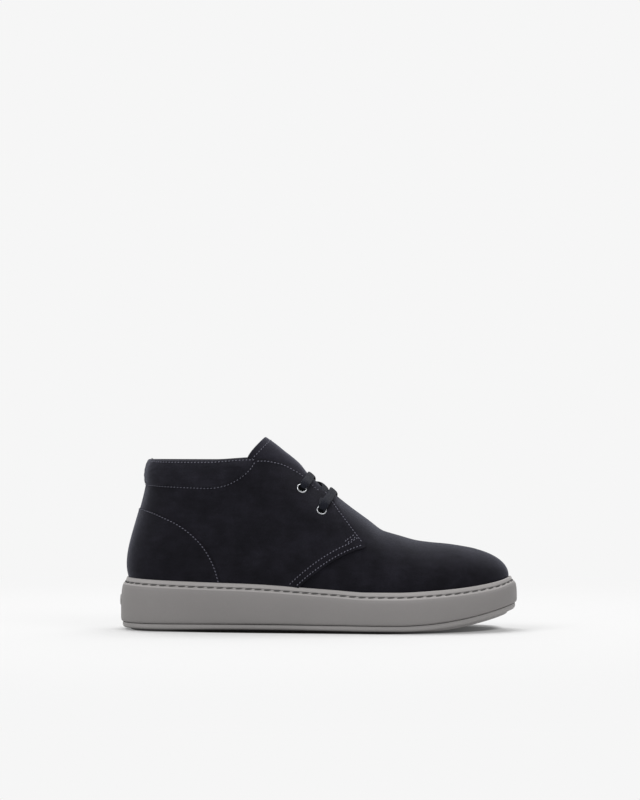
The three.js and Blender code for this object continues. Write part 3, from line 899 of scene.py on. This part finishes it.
def make_counter():
    """The heel counter: a thin patch round the back of the heel, ending in an arch."""
    levels = np.linspace(-TUCK, 1, 400)
    back = skin(np.zeros_like(levels), levels, -1)[..., 2]
    top = float(np.interp(92.0, back, levels))
    rows = np.linspace(-TUCK, top, 60)
    reach = {side: crossing(COUNTER_SEAM, np.maximum(0, rows), side, 0.0, 0.42) for side in (-1, 1)}
    s, index = np.meshgrid(np.linspace(-1, 1, 121), np.arange(60))
    side = np.where(s < 0, -1.0, 1.0)
    u = np.abs(s) * np.where(side < 0, reach[-1][index], reach[1][index])
    t = rows[index]
    points = skin(u, t, side)
    out = grid_normals(points)
    lifted = points + out * (COUNTER_PROUD + quarter_lift(u, t, side) - folds(points))[..., None]
    bm = bmesh.new()
    add_sheet(bm, lifted, out)
    close_seams(bm)
    obj = object_from(bm, "heel_counter")
    finish_piece(obj, suede(), shaded_cut_edge(), slot="suede")
    solidify(obj, COUNTER_GAUGE, rim_slot=1)
    round_edges(obj, 0.25)
    return obj


COLLAR_END = 0.436


def collar_seam_level(u, side):
    """The level t of the collar's seam on each rib."""
    low, high = np.full(u.shape, 0.6), np.full(u.shape, 1.0)
    for _ in range(30):
        middle = (low + high) / 2
        point = skin(u, middle, side)
        under = point[..., 2] < COLLAR_SEAM("z", point[..., 0])
        low, high = np.where(under, middle, low), np.where(under, high, middle)
    return (low + high) / 2


def make_collar():
    """The padded collar: from its seam up, over the edge and down inside as a soft lining."""
    s = np.linspace(-1, 1, 241)
    side = np.where(s < 0, -1.0, 1.0)
    u = np.abs(s) * COLLAR_END
    seam = collar_seam_level(u, side)
    taper = smooth(1 - np.abs(s), 0.0, 0.1)
    dive = 1 - smooth(1 - np.abs(s), 0.0, 0.035)
    puff = sizes().collar_puff * 1000
    outer_rows, roll_rows, inner_rows = 14, 9, 18
    rows = []
    for k in range(outer_rows):
        share = k / outer_rows
        level = seam + (0.985 - seam) * share
        swell = 0.25 + puff * np.sin(math.pi * (0.04 + 0.84 * share)) ** 0.8
        band = np.clip((1 - seam) / 0.12, 0, 1)
        rows.append((level, (0.1 + swell * band) * taper + 0.05 - 1.3 * dive, 0 * u))
    for k in range(roll_rows):
        turn = math.pi * k / (roll_rows - 1)
        middle, radius = -1.5, 2.1
        off = middle + radius * math.cos(turn)
        rise = 1.3 * math.sin(turn) * taper + 0.15 - 1.8 * dive
        rows.append((0 * u + 0.992, off * (0.35 + 0.65 * taper), rise))
    for k in range(1, inner_rows + 1):
        share = k / inner_rows
        level = 0.985 - 0.27 * share
        pad = 3.7 + 2.9 * math.sin(math.pi * share) ** 0.8 - 1.0 * share
        rows.append((0 * u + level, -(2.7 + (pad - 2.7) * taper), 0 * u))
    base, normal = [], []
    for level, off, rise in rows:
        point, out = skin_frame(u, level, side, 0.0)
        out[len(s) // 2] = out[len(s) // 2] * [1, 0, 1]
        ripple = np.sin(level * 150 + 3.0 * np.sin(u * 31))
        wave = 0.16 * ripple * (0.55 + 0.45 * np.sin(u * 47 + level * 30))
        point = point + out * (off + wave * taper)[:, None]
        point[:, 2] += rise
        base.append(point)
        normal.append(out)
    base, normal = np.array(base), np.array(normal)
    bm = bmesh.new()
    facing = grid_normals(base)
    if (facing[3] * normal[3]).sum() < 0:
        facing = -facing
    add_sheet(bm, base, facing)
    obj = object_from(bm, "collar")
    finish_piece(obj, collar_suede(), slot="lining", replaces=("collar_pad",), smooth_angle=0)
    solidify(obj, 0.9)
    return obj


def tongue_points(x, turn, lift=0.0):
    """Points across the tongue: x along the ridge, turn from -1 to 1 across."""
    hang = math.radians(75)
    slope = ridge_slope(x)
    scale = np.hypot(slope, 1)
    angle = turn * hang
    sink = TONGUE("depth", x) + TONGUE("drop", x) * (1 - np.cos(angle)) / (1 - math.cos(hang)) - lift
    return np.stack([
        x + slope / scale * sink,
        axis_y(x) + TONGUE("half", x) * np.sin(angle) / math.sin(hang),
        ridge(x) - sink / scale,
    ], -1)


def make_tongue():
    """The tongue: a padded leaf that lies over the instep under the throat."""
    turn, x = np.meshgrid(np.linspace(-1.2, 1.2, 49), np.linspace(109.7, 190, 90))
    x = x + (3.0 * np.abs(turn / 1.2) ** 8 - 1.9 * turn ** 2) * (1 - (x - 109.7) / 80.3) ** 2
    soft = 0.35 * np.sin(x / 4.1) * np.cos(turn * 2.2) * smooth(x, 112, 130) * (1 - smooth(x, 134, 146))
    points = tongue_points(x, turn, soft)
    bm = bmesh.new()
    out = grid_normals(points)
    if out[40, 24, 2] < 0:
        out = -out
    add_sheet(bm, points, out)
    obj = object_from(bm, "tongue_leaf")
    finish_piece(obj, lit_tongue_suede(), lining(), shaded_cut_edge(), slot="suede", replaces=("tongue",))
    solidify(obj, TONGUE_GAUGE, inner_slot=1, rim_slot=2)
    round_edges(obj, 0.9, segments=3)
    return obj


def counter_run(lift):
    """The counter's seam: up one side, across the back of the heel and down the other."""
    z = np.linspace(36.0, 90.4, 60)
    x = COUNTER_SEAM("x", z) - 1.4
    ends = {}
    for side in (-1, 1):
        u, t = locate(x[x > 17], z[x > 17], side)
        ends[side] = u, t
    (u0, t0), (u1, t1) = ends[-1], ends[1]
    s = np.linspace(-u0[-1], u1[-1], 40)[1:-1]
    level = np.interp(s, [-u0[-1], 0.0, u1[-1]], [t0[-1], max(t0[-1], t1[-1]), t1[-1]])
    u = np.concatenate([u0, np.abs(s), u1[::-1]])
    t = np.concatenate([t0, level, t1[::-1]])
    side = np.concatenate([-np.ones(len(u0)), np.sign(s), np.ones(len(u1))])
    return skin_frame(u, t, side, face_lift(u, t, side) + lift)


def make_upper_stitches():
    """Every row of stitches on the upper."""
    bm = bmesh.new()
    runs = []
    for side in (-1, 1):
        z = np.linspace(33.6, 62.2, 24)
        edge = np.stack([QUARTER_EDGE("x", z), z], -1)
        edge = edge[edge[:, 1] < 61.0]
        lower = np.vstack([edge + np.array([-1.0, 1.6]), [(185.4, 64.9)]])
        upper = np.vstack([edge + np.array([-3.4, 5.2]), [(180.6, 69.4), (182.4, 70.2)]])
        upper[0] = lower[0] + np.array([-5.6, 0.6])
        runs.append(side_run(lower, side, THREAD_PROUD, 120))
        runs.append(side_run(upper, side, THREAD_PROUD, 120))
        facing = [(185.4, 66.9), (180.2, 73.0), (173.4, 81.3), (168.4, 87.6), (160.8, 97.0), (155.4, 103.6)]
        runs.append(side_run(facing, side, THREAD_PROUD))
        for tack in ([(179.4, 72.4), (172.4, 67.6)], [(180.8, 70.9), (174.4, 66.5)]):
            runs.append(side_run(tack, side, THREAD_PROUD, 20))
        u = np.linspace(COLLAR_END * 0.995, 0.556, 80)
        inset = 2.1
        rib = np.linalg.norm(skin(u, 1.0, side) - skin(u, 0.97, side), axis=-1) / 0.03
        t = 1 - inset / rib
        runs.append(skin_frame(u, t, side, face_lift(u, t, side) + THREAD_PROUD))
    runs.append(counter_run(COUNTER_PROUD + THREAD_PROUD))
    s = np.linspace(-1, 1, 400)
    side = np.where(s < 0, -1.0, 1.0)
    u = np.abs(s) * COLLAR_END * 0.985
    seam = collar_seam_level(u, side)
    runs.append(skin_frame(u, seam - 0.006, side, THREAD_PROUD + 0.15))
    runs.append(skin_frame(u, 0.9905, side, 0.35 + 0.6 * smooth(1 - np.abs(s), 0.0, 0.1)))
    turn = np.linspace(-1.1, 1.1, 60)
    row = 113.9 - 1.9 * turn ** 2
    points = tongue_points(row, turn, 0.1)
    runs.append((points, tongue_points(row, turn, 1.1) - points))
    seam_stitches(bm, runs)
    obj = object_from(bm, "upper_stitches")
    return finish_piece(obj, thread(), slot="suede", smooth_angle=0)


# ---------------------------------------------------------------- eyelets and lace


def seat(name):
    """The place and outward direction of an eyelet."""
    side = -1 if name.startswith("lateral") else 1
    x, z = EYELET_PLACES[name.split("_")[1]]
    u, t = locate([x], [z], side)
    lift = quarter_lift(u, t, side)
    point, normal = skin_frame(u, t, side, lift)
    return Vector(point[0]), Vector(normal[0])


def seat_matrix(point, normal):
    """The turn and move that set a ring on its seat."""
    turn = Vector((0, 0, 1)).rotation_difference(normal).to_matrix().to_4x4()
    return Matrix.Translation(Vector(metres(point))) @ turn


EYELET_NAMES = ("lateral_upper", "lateral_lower", "medial_upper", "medial_lower")


def make_eyelet(name):
    """A rolled metal ring set in the quarter, with its barrel going through."""
    point, normal = seat(name)
    profile = [
        (3.1, -2.6), (3.0, -2.0), (3.0, -0.2), (3.04, 0.22), (3.16, 0.46), (3.36, 0.56), (3.62, 0.5),
        (3.84, 0.3), (3.95, 0.05), (3.8, -0.12), (3.5, -0.1), (3.3, -0.4), (3.25, -2.2), (3.2, -2.6),
    ]
    bm = bmesh.new()
    verts = [bm.verts.new((radius / 1000, 0, height / 1000)) for radius, height in profile]
    edges = [bm.edges.new((verts[k], verts[(k + 1) % len(verts)])) for k in range(len(verts))]
    bmesh.ops.spin(
        bm, geom=verts + edges, cent=(0, 0, 0), axis=(0, 0, 1), angle=2 * math.pi, steps=48, use_merge=True,
    )
    bmesh.ops.remove_doubles(bm, verts=bm.verts, dist=1e-6)
    bmesh.ops.recalc_face_normals(bm, faces=bm.faces)
    ring = set(bm.faces)
    # A near-black disc across the hole: painted shade where the hole looks into the boot.
    bmesh.ops.create_circle(
        bm, cap_ends=True, segments=32, radius=0.0031, matrix=Matrix.Translation((0, 0, 0.00012)),
    )
    for face in bm.faces:
        face.material_index = 0 if face in ring else 1
    bmesh.ops.transform(bm, matrix=seat_matrix(point, normal), verts=bm.verts)
    obj = object_from(bm, "ring_" + name)
    metal = made_material("Eyelet metal", metal_material, (0.5, 0.51, 0.53))
    dark = made_material("Eyelet hole", thread_material, (0.0015, 0.0015, 0.002), shine=0.02)
    return finish_piece(obj, metal, dark, slot="eyelet_metal", replaces=("eyelet_" + name,), smooth_angle=40)


def lace_path(start, finish, cross_x, rise, layer):
    """Stops of one bar: out of an eyelet, over the instep and into the other eyelet."""
    a, na = seat(start)
    b, nb = seat(finish)
    up = Vector((-float(ridge_slope(cross_x)), 0, 1)).normalized()
    over = Vector((cross_x, float(axis_y(cross_x)), float(ridge(cross_x)))) + up * rise
    stops = []
    for point, normal, order in ((a, na, 1), (b, nb, -1)):
        away = (over - point).normalized()
        flat = (away - normal * away.dot(normal)).normalized()
        blend = (normal + up).normalized()
        shoulder = point.lerp(over, 0.52) + blend * (3.3 + layer)
        run = [
            (point + flat * 0.9 - normal * 3.4, normal, 0.5),
            (point + flat * 1.1 - normal * 0.4, normal, 0.62),
            (point + flat * 2.7 + normal * (1.2 + layer * 0.4), (normal - flat * 0.5).normalized(), 0.95),
            (point + flat * 5.0 + normal * (1.9 + layer * 0.8), normal, 1.0),
            (shoulder, blend, 1.0),
        ]
        stops.append(run[::order])
    return stops[0] + [(over, up, 1.0)] + stops[1]


def resample(values, at):
    """A centripetal-like smooth run through rows of values."""
    values = np.asarray(values, float)
    steps = np.linalg.norm(np.diff(values[:, :3], axis=0), axis=1) ** 0.75
    run = np.concatenate([[0], np.cumsum(steps)])
    run /= run[-1]
    slopes = np.gradient(values, run, axis=0)
    i = np.clip(np.searchsorted(run, at, side="right") - 1, 0, len(run) - 2)
    span = (run[i + 1] - run[i])[:, None]
    t = ((at - run[i]) / (run[i + 1] - run[i]))[:, None]
    low, high = values[i], values[i + 1]
    return (low * (1 + 2 * t) * (1 - t) ** 2 + high * t * t * (3 - 2 * t)
            + span * (slopes[i] * t * (1 - t) ** 2 - slopes[i + 1] * t * t * (1 - t)))


LACE_BARS = (
    ("lateral_upper", "medial_upper", 145.2, -0.2, 0.0),
    ("lateral_lower", "medial_upper", 155.2, -0.2, -1.0),
    ("lateral_lower", "medial_lower", 160.4, 2.0, 1.2),
)


def make_lace():
    """The flat lace: two bars and one diagonal, each gathered where it enters an eyelet."""
    width = sizes().lace_width * 1000
    bm = bmesh.new()
    around = 16
    for start, finish, cross_x, rise, layer in LACE_BARS:
        stops = lace_path(start, finish, cross_x, rise, layer)
        rows = [(*point, *normal, share) for point, normal, share in stops]
        run = resample(rows, np.linspace(0, 1, 90))
        centre, up, share = run[:, :3], run[:, 3:6], run[:, 6]
        along = np.gradient(centre, axis=0)
        along /= np.linalg.norm(along, axis=1, keepdims=True)
        up = up - along * (up * along).sum(1, keepdims=True)
        up /= np.linalg.norm(up, axis=1, keepdims=True)
        across = np.cross(along, up)
        turn = np.linspace(0, 2 * math.pi, around + 1)
        wide = np.sign(np.cos(turn)) * np.abs(np.cos(turn)) ** 0.6 * width / 2
        high = np.sign(np.sin(turn)) * np.abs(np.sin(turn)) ** 0.75 * LACE_GAUGE / 2
        gather = share[:, None, None]
        curl = 0.28 * (wide / (width / 2)) ** 2
        points = (centre[:, None] + across[:, None] * wide[None, :, None] * gather
                  + up[:, None] * (high / np.sqrt(share)[:, None] - curl)[..., None])
        length = np.concatenate([[0], np.cumsum(np.linalg.norm(np.diff(centre, axis=0), axis=1))])
        uv = np.stack(np.broadcast_arrays(length[:, None] / 1000, (wide / 1000)[None, :]), -1)
        out = points - centre[:, None]
        add_sheet(bm, points, out, uv)
    close_seams(bm, 0.005)
    loops = [edge for edge in bm.edges if edge.is_boundary]
    bmesh.ops.holes_fill(bm, edges=loops, sides=0)
    obj = object_from(bm, "flat_lace")
    tone = tuple(colours().lace)
    braid = made_material(
        "Lace braid", cloth_material, brightened(tone, 1.7), brightened(tone, 0.2), 3000.0, 4700.0,
        depth=0.0006,
    )
    return finish_piece(obj, braid, slot="lace_cloth", replaces=("lace",), smooth_angle=0)


# ---------------------------------------------------------------- the sole


def ring_rows(rows, steps=150):
    """Rows of the outline round the sole: each row an inset, a share across and a height."""
    v = np.linspace(0, 2, 2 * steps + 1)
    u = np.where(v <= 1, v, 2 - v)
    side = np.where(v <= 1, -1.0, 1.0)
    points = []
    for inset, share, height in rows:
        x, y = outline(u, side, inset)
        middle = axis_y(x)
        points.append(np.stack([x, middle + (y - middle) * share, height(x)], -1))
    return np.array(points)


def ring_object(name, rows, steps=150):
    """A closed piece skinned over rows of the outline."""
    bm = bmesh.new()
    add_sheet(bm, ring_rows(rows, steps))
    close_seams(bm, 0.004)
    bmesh.ops.recalc_face_normals(bm, faces=bm.faces)
    return object_from(bm, name)


def above_spring(gauge):
    """The height at each x of a level that follows the sole's underside."""
    return lambda x: spring(x) + gauge


def cup_rubber():
    return made_material("Cup rubber", rubber_material, tuple(colours().cup))


def lit_rim_rubber():
    # Painted light: a 1.5 times paler copy of the cup rubber for the rim's lit top.
    return made_material("Rim rubber", rubber_material, brightened(tuple(colours().cup), 1.5))


def make_cup():
    """The cup: side wall, bevelled rim with a bead and a stitch channel, and its floor."""
    lip = lambda x: rim_top(x) - BEVEL_DROP
    up = lambda share: lambda x: (parting(x) + CLEAR) * (1 - share) + lip(x) * share
    rim = lambda drop: lambda x: rim_top(x) - drop
    wall = [
        (1.4, 0.0), (1.0, 0.004), (0.55, 0.02), (0.2, 0.05), (0.05, 0.09), (0.0, 0.2), (0.0, 0.45),
        (0.2, 0.65), (0.6, 0.82), (1.0, 0.92), (1.4, 0.97), (1.8, 1.0),
    ]
    bevel = [
        (1.85, 5.3), (2.0, 4.9), (2.3, 4.55), (2.7, 4.35), (3.05, 4.3), (3.4, 4.15), (3.75, 3.75),
        (3.85, 3.4), (3.7, 3.1), (3.72, 2.75), (3.9, 2.1), (4.15, 1.25), (4.45, 0.55), (4.85, 0.12),
        (5.3, 0.0), (5.7, 0.12), (6.0, 0.6),
    ]
    rows = [(1.4, 0.0, up(0)), (1.4, 0.6, up(0))]
    rows += [(inset, 1.0, up(share)) for inset, share in wall]
    rows += [(inset, 1.0, rim(drop)) for inset, drop in bevel]
    rows += [(RIM_WIDTH, 1.0, footbed), (RIM_WIDTH, 0.0, footbed)]
    obj = ring_object("rubber_cup", rows)
    finish_piece(obj, cup_rubber(), lit_rim_rubber(), slot="cup_rubber", replaces=("cupsole",), smooth_angle=42)
    mark_lit_rim(obj)
    return obj


def parting(x):
    """The height at which the cup stands on the tread."""
    return TREAD_GAUGE + spring(x)


def mark_lit_rim(obj):
    """The bevelled rim's upward-facing faces take a paler copy of the cup rubber: painted light on its top.
    """
    for polygon in obj.data.polygons:
        x, _, z = np.array(polygon.center) * 1000 - SHIFT
        if z > float(rim_top(x)) - BEVEL_DROP - 0.1 and polygon.normal.z > 0.12:
            polygon.material_index = 1


def make_rim_stitches():
    """Thread in the rim's channel, all the way round."""
    v = np.linspace(0, 2, 1200)
    u = np.where(v <= 1, v, 2 - v)
    side = np.where(v <= 1, -1.0, 1.0)
    x, y = outline(u, side, 3.45)
    points = np.stack([x, y, rim_top(x) - 3.62], -1)
    x1, y1 = outline(u, side, 1.45)
    normals = np.stack([x1 - x, y1 - y, 0 * x + 2.0], -1)
    bm = bmesh.new()
    add_stitches(bm, points, normals, sizes().rim_pitch * 1000, 5.8, 1.3, 0.9, slant=9)
    obj = object_from(bm, "rim_stitches")
    return finish_piece(obj, rim_thread(), slot="cup_rubber", smooth_angle=0)


def tread_rubber():
    return made_material("Tread rubber", rubber_material, tuple(colours().tread), roughness=0.7, scuffed=True)


def make_tread():
    """The tread: a rounded strip under the cup, with a flat land round a sunk field."""
    profile = [
        (15.5, 0.0, 2.2), (15.5, 1.0, 2.2), (15.0, 1.0, 0.4), (14.5, 1.0, 0.0), (8.2, 1.0, 0.0),
        (7.6, 1.0, 0.3), (7.3, 1.0, 1.1), (6.8, 1.0, 1.6), (3.6, 1.0, 1.75), (2.5, 1.0, 1.95),
        (1.8, 1.0, 2.5), (1.45, 1.0, 3.3), (1.35, 1.0, 4.2), (1.4, 1.0, 5.2), (1.65, 1.0, 5.8),
        (2.3, 1.0, 6.0), (2.3, 0.0, 6.0),
    ]
    rows = [(inset, share, above_spring(gauge)) for inset, share, gauge in profile]
    obj = ring_object("rubber_tread", rows)
    return finish_piece(obj, tread_rubber(), slot="tread_rubber", replaces=("outsole",), smooth_angle=40)


def make_lugs():
    """Waved cross bars in the sunk field under the ball and heel."""
    bm = bmesh.new()
    pitch, length, margin = 9.0, 5.6, 19.0
    places = list(np.arange(26, 92, pitch)) + list(np.arange(146, 262, pitch))
    for x in places:
        low = float(axis_y(x) - half_width(np.array(x), -1, margin))
        high = float(axis_y(x) + half_width(np.array(x), 1, margin))
        made = bmesh.ops.create_cube(bm, size=1)["verts"]
        edges = {edge for vert in made for edge in vert.link_edges}
        across = [edge for edge in edges if abs(edge.verts[0].co.y - edge.verts[1].co.y) > 0.5]
        bmesh.ops.subdivide_edges(bm, edges=across, cuts=24, use_grid_fill=True)
        bar = [vert for vert in bm.verts if not vert.tag]
        for vert in bar:
            vert.tag = True
            share = vert.co.y + 0.5
            y = low + (high - low) * share
            wave = 2.6 * math.sin(y / 5.2)
            at = x + vert.co.x * length + wave
            z = float(spring(at)) + (0.1 if vert.co.z < 0 else 2.6)
            vert.co = Vector(metres((at, y, z)))
    obj = object_from(bm, "tread_lugs")
    finish_piece(obj, tread_rubber(), slot="tread_rubber", smooth_angle=40)
    round_edges(obj, 0.5)
    return obj


def make_heel_pad():
    """A plain raised oval on the back of the cup."""
    bm = bmesh.new()
    profile = [(1.0, -0.3), (0.97, 0.25), (0.9, 0.5), (0.6, 0.62), (0.0, 0.65)]
    turn = np.linspace(0, 2 * math.pi, 49)
    rows = []
    for share, lift in profile:
        across = 12.0 * share * np.cos(turn)
        height = 4.3 * share * np.sin(turn) + 22.0
        x, y = heel_wall(across)
        rows.append(np.stack([x - lift, y, height], -1))
    points = np.array(rows)
    add_sheet(bm, points)
    close_seams(bm, 0.004)
    bmesh.ops.recalc_face_normals(bm, faces=bm.faces)
    obj = object_from(bm, "heel_pad")
    return finish_piece(obj, cup_rubber(), slot="cup_rubber", smooth_angle=40)


def heel_wall(across):
    """Points of the sole's back edge at a place across it."""
    u = np.linspace(0, 0.2, 400)
    x0, y0 = outline(u, -1, 0.0)
    x1, y1 = outline(u, 1, 0.0)
    y = np.concatenate([y0[::-1], y1[1:]])
    x = np.concatenate([x0[::-1], x1[1:]])
    return np.interp(across, y, x), across


def make_insole():
    """The footbed: soft cloth over foam, with its edge turned up a little."""
    inset = FEATHER_INSET + WALL + 0.7
    base = lambda lift: lambda x: footbed(x) + CLEAR + lift
    rows = [
        (inset, 0.0, base(0)), (inset, 1.0, base(0)), (inset, 1.0, base(3.4)), (inset + 0.5, 1.0, base(4.1)),
        (inset + 1.2, 1.0, base(4.3)), (inset + 3, 1.0, base(4.0)), (inset + 7, 1.0, base(3.3)),
        (inset + 7, 0.5, base(2.9)), (inset + 7, 0.0, base(2.8)),
    ]
    obj = ring_object("footbed", rows, 100)
    cloth = made_material(
        "Footbed cloth", cloth_material, (0.03, 0.03, 0.036), (0.012, 0.012, 0.016), 5200.0, 5200.0,
        which="Object",
    )
    return finish_piece(obj, cloth, slot="insole_cloth", replaces=("insole",), smooth_angle=50)


# ---------------------------------------------------------------- stage

CAMERA_YAW = 4.5
CAMERA_HEIGHT = 0.1736
CAMERA_REACH = 2.4
FRAME_TALL = 0.6010  # metres seen from bottom to top, at the boot

# Name, place, what it points at, size and power of each light.
LIGHTS = (
    ("key", (-1.6, -1.5, 2.3), (0, 0, 0.08), (1.6, 1.6), 38),
    ("fill", (1.9, -1.6, 1.3), (0, 0, 0.08), (1.8, 1.8), 17),
    ("top", (0.0, 0.7, 2.4), (0, 0, 0.05), (2.2, 1.6), 58),
)


def make_camera():
    """The camera, level and a little to the toe's side of square on."""
    yaw = math.radians(CAMERA_YAW)
    data = bpy.data.cameras.new("camera")
    camera = bpy.data.objects.new("camera", data)
    bpy.context.scene.collection.objects.link(camera)
    target = Vector((0.0028, -0.02, CAMERA_HEIGHT))
    back = Vector((math.sin(yaw), -math.cos(yaw), 0))
    camera.location = target + back * CAMERA_REACH
    camera.rotation_euler = (math.radians(90), 0, yaw)
    data.lens = data.sensor_width * CAMERA_REACH / FRAME_TALL
    data.clip_end = 30
    bpy.context.scene.camera = camera


def make_lights():
    """Three soft rectangles: key, fill and top."""
    for name, place, target, size, power in LIGHTS:
        data = bpy.data.lights.new(name, "AREA")
        data.shape = "RECTANGLE"
        data.size, data.size_y = size
        data.energy = power
        light = bpy.data.objects.new(name, data)
        bpy.context.scene.collection.objects.link(light)
        light.location = place
        light.rotation_euler = (Vector(target) - Vector(place)).to_track_quat("-Z", "Y").to_euler()


def make_floor():
    """A pale floor, lit near the boot and glowing evenly beyond it, curving up behind."""
    bm = bmesh.new()
    rows = [(-6.0, 0.0)] + [(y, 0.0) for y in np.linspace(-1, 3, 9)]
    rows += [(3 + 1.5 * math.sin(a), 1.5 - 1.5 * math.cos(a)) for a in np.linspace(0.15, math.pi / 2, 10)]
    rows += [(4.5, 6.0)]
    points = np.array([[(x * 1000, y * 1000, z * 1000) for x in (-6, -1, 0, 1, 6)] for y, z in rows])
    add_sheet(bm, points - SHIFT)
    bmesh.ops.recalc_face_normals(bm, faces=bm.faces)
    obj = object_from(bm, "floor")
    material = bpy.data.materials.new("Pale floor")
    material.use_nodes = True
    graph = Graph(material.node_tree)
    graph.nodes.remove(graph.nodes["Principled BSDF"])
    diffuse, glow = graph.add("BsdfDiffuse"), graph.add("Emission")
    distance = graph.nodes.new("ShaderNodeVectorMath")
    distance.operation = "LENGTH"
    graph.put(distance.inputs[0], graph.coordinates())
    mix = graph.nodes.new("ShaderNodeMixShader")
    graph.put(mix.inputs[0], graph.faded(distance.outputs["Value"], 0.22, 0.75, 0.25, 1.0, "SMOOTHSTEP"))
    graph.put(mix.inputs[1], diffuse.outputs[0])
    graph.put(mix.inputs[2], glow.outputs[0])
    graph.put(graph.nodes["Material Output"].inputs["Surface"], mix.outputs[0])
    shade = contact_shade(graph)
    for shader, tone in ((diffuse, 0.57), (glow, 0.922)):
        pale, dark = (tone, tone, tone, 1), (tone * 0.03, tone * 0.028, tone * 0.027, 1)
        graph.put(shader.inputs["Color"], graph.blend(shade, pale, dark))
    obj.data.materials.append(material)


def contact_shade(graph):
    """A mask of the floor right under the sole, soft at its edge and fainter under the toe."""
    split = graph.add("SeparateXYZ", Vector=graph.coordinates()).outputs
    lean = graph.faded(split["X"], 0.045, 0.15, 0.0, 0.03, "SMOOTHSTEP")
    along = graph.maths("DIVIDE", split["X"], 0.137)
    reach = graph.scaled(split["X"], 0.055, 0.046)
    middle = graph.maths("SUBTRACT", split["Y"], lean)
    across = graph.maths("DIVIDE", graph.maths("ADD", middle, 0.002), reach)
    along = graph.maths("POWER", graph.maths("ABSOLUTE", along), 4.0)
    across = graph.maths("POWER", graph.maths("ABSOLUTE", across), 2.6)
    fade = graph.faded(graph.maths("ADD", along, across), 1.1, 0.8, interpolation="SMOOTHSTEP")
    thin = graph.maths("SUBTRACT", 1.0, graph.maths("MULTIPLY", lean, 14.0))
    return graph.maths("MULTIPLY", fade, thin)


def make_world():
    """Even white light from all round."""
    scene = bpy.context.scene
    scene.world = scene.world or bpy.data.worlds.new("studio")
    scene.world.use_nodes = True
    background = scene.world.node_tree.nodes["Background"]
    background.inputs["Color"].default_value = (1, 1, 1, 1)
    background.inputs["Strength"].default_value = 0.55
    scene.view_settings.view_transform = "Standard"


# ---------------------------------------------------------------- operators


class BOOT_OT_stage(bpy.types.Operator):
    """Adds the floor, lights and camera."""

    bl_idname = "boot.stage"
    bl_label = "Stage"

    def execute(self, context):
        make_world()
        make_camera()
        make_floor()
        make_lights()
        return {"FINISHED"}


class BOOT_OT_shaders(bpy.types.Operator):
    """Builds the shared shader groups."""

    bl_idname = "boot.shaders"
    bl_label = "Shaders"

    def execute(self, context):
        grain_group()
        weave_group()
        return {"FINISHED"}


class BOOT_OT_sole(bpy.types.Operator):
    """Builds the cup, tread and footbed."""

    bl_idname = "boot.sole"
    bl_label = "Sole"

    def execute(self, context):
        make_cup()
        make_rim_stitches()
        make_tread()
        make_lugs()
        make_heel_pad()
        make_insole()
        return {"FINISHED"}


class BOOT_OT_upper(bpy.types.Operator):
    """Builds the vamp, quarters, counter and tongue."""

    bl_idname = "boot.upper"
    bl_label = "Upper"

    def execute(self, context):
        make_upper()
        make_quarters()
        make_counter()
        make_tongue()
        return {"FINISHED"}


class BOOT_OT_collar(bpy.types.Operator):
    """Builds the padded collar."""

    bl_idname = "boot.collar"
    bl_label = "Collar"

    def execute(self, context):
        make_collar()
        return {"FINISHED"}


class BOOT_OT_stitches(bpy.types.Operator):
    """Sews the upper's seams."""

    bl_idname = "boot.stitches"
    bl_label = "Stitches"

    def execute(self, context):
        make_upper_stitches()
        return {"FINISHED"}


class BOOT_OT_lacing(bpy.types.Operator):
    """Sets the eyelets and runs the lace."""

    bl_idname = "boot.lacing"
    bl_label = "Lacing"

    def execute(self, context):
        for name in EYELET_NAMES:
            make_eyelet(name)
        make_lace()
        return {"FINISHED"}


OPERATORS = (
    BOOT_OT_stage, BOOT_OT_shaders, BOOT_OT_sole, BOOT_OT_upper, BOOT_OT_collar, BOOT_OT_stitches,
    BOOT_OT_lacing,
)


class BOOT_PT_panel(bpy.types.Panel):
    """Lists the boot's settings and operators."""

    bl_label = "Chukka Boot"
    bl_idname = "BOOT_PT_panel"
    bl_space_type = "VIEW_3D"
    bl_region_type = "UI"
    bl_category = "Boot"

    def draw(self, context):
        for settings in (colours(), sizes()):
            for name in settings.bl_rna.properties.keys():
                if name not in ("rna_type", "name"):
                    self.layout.prop(settings, name)
        for operator in OPERATORS:
            self.layout.operator(operator.bl_idname)


CLASSES = (BootColours, BootSizes, *OPERATORS, BOOT_PT_panel)


def register():
    for made in CLASSES:
        bpy.utils.register_class(made)
    bpy.types.Scene.boot_colours = PointerProperty(type=BootColours)
    bpy.types.Scene.boot_sizes = PointerProperty(type=BootSizes)


def unregister():
    del bpy.types.Scene.boot_colours
    del bpy.types.Scene.boot_sizes
    for made in reversed(CLASSES):
        bpy.utils.unregister_class(made)


def main():
    """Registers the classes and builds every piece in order."""
    register()
    bpy.ops.boot.stage()
    bpy.ops.boot.shaders()
    bpy.ops.boot.sole()
    bpy.ops.boot.upper()
    bpy.ops.boot.collar()
    bpy.ops.boot.stitches()
    bpy.ops.boot.lacing()


if __name__ == "__main__":
    main()
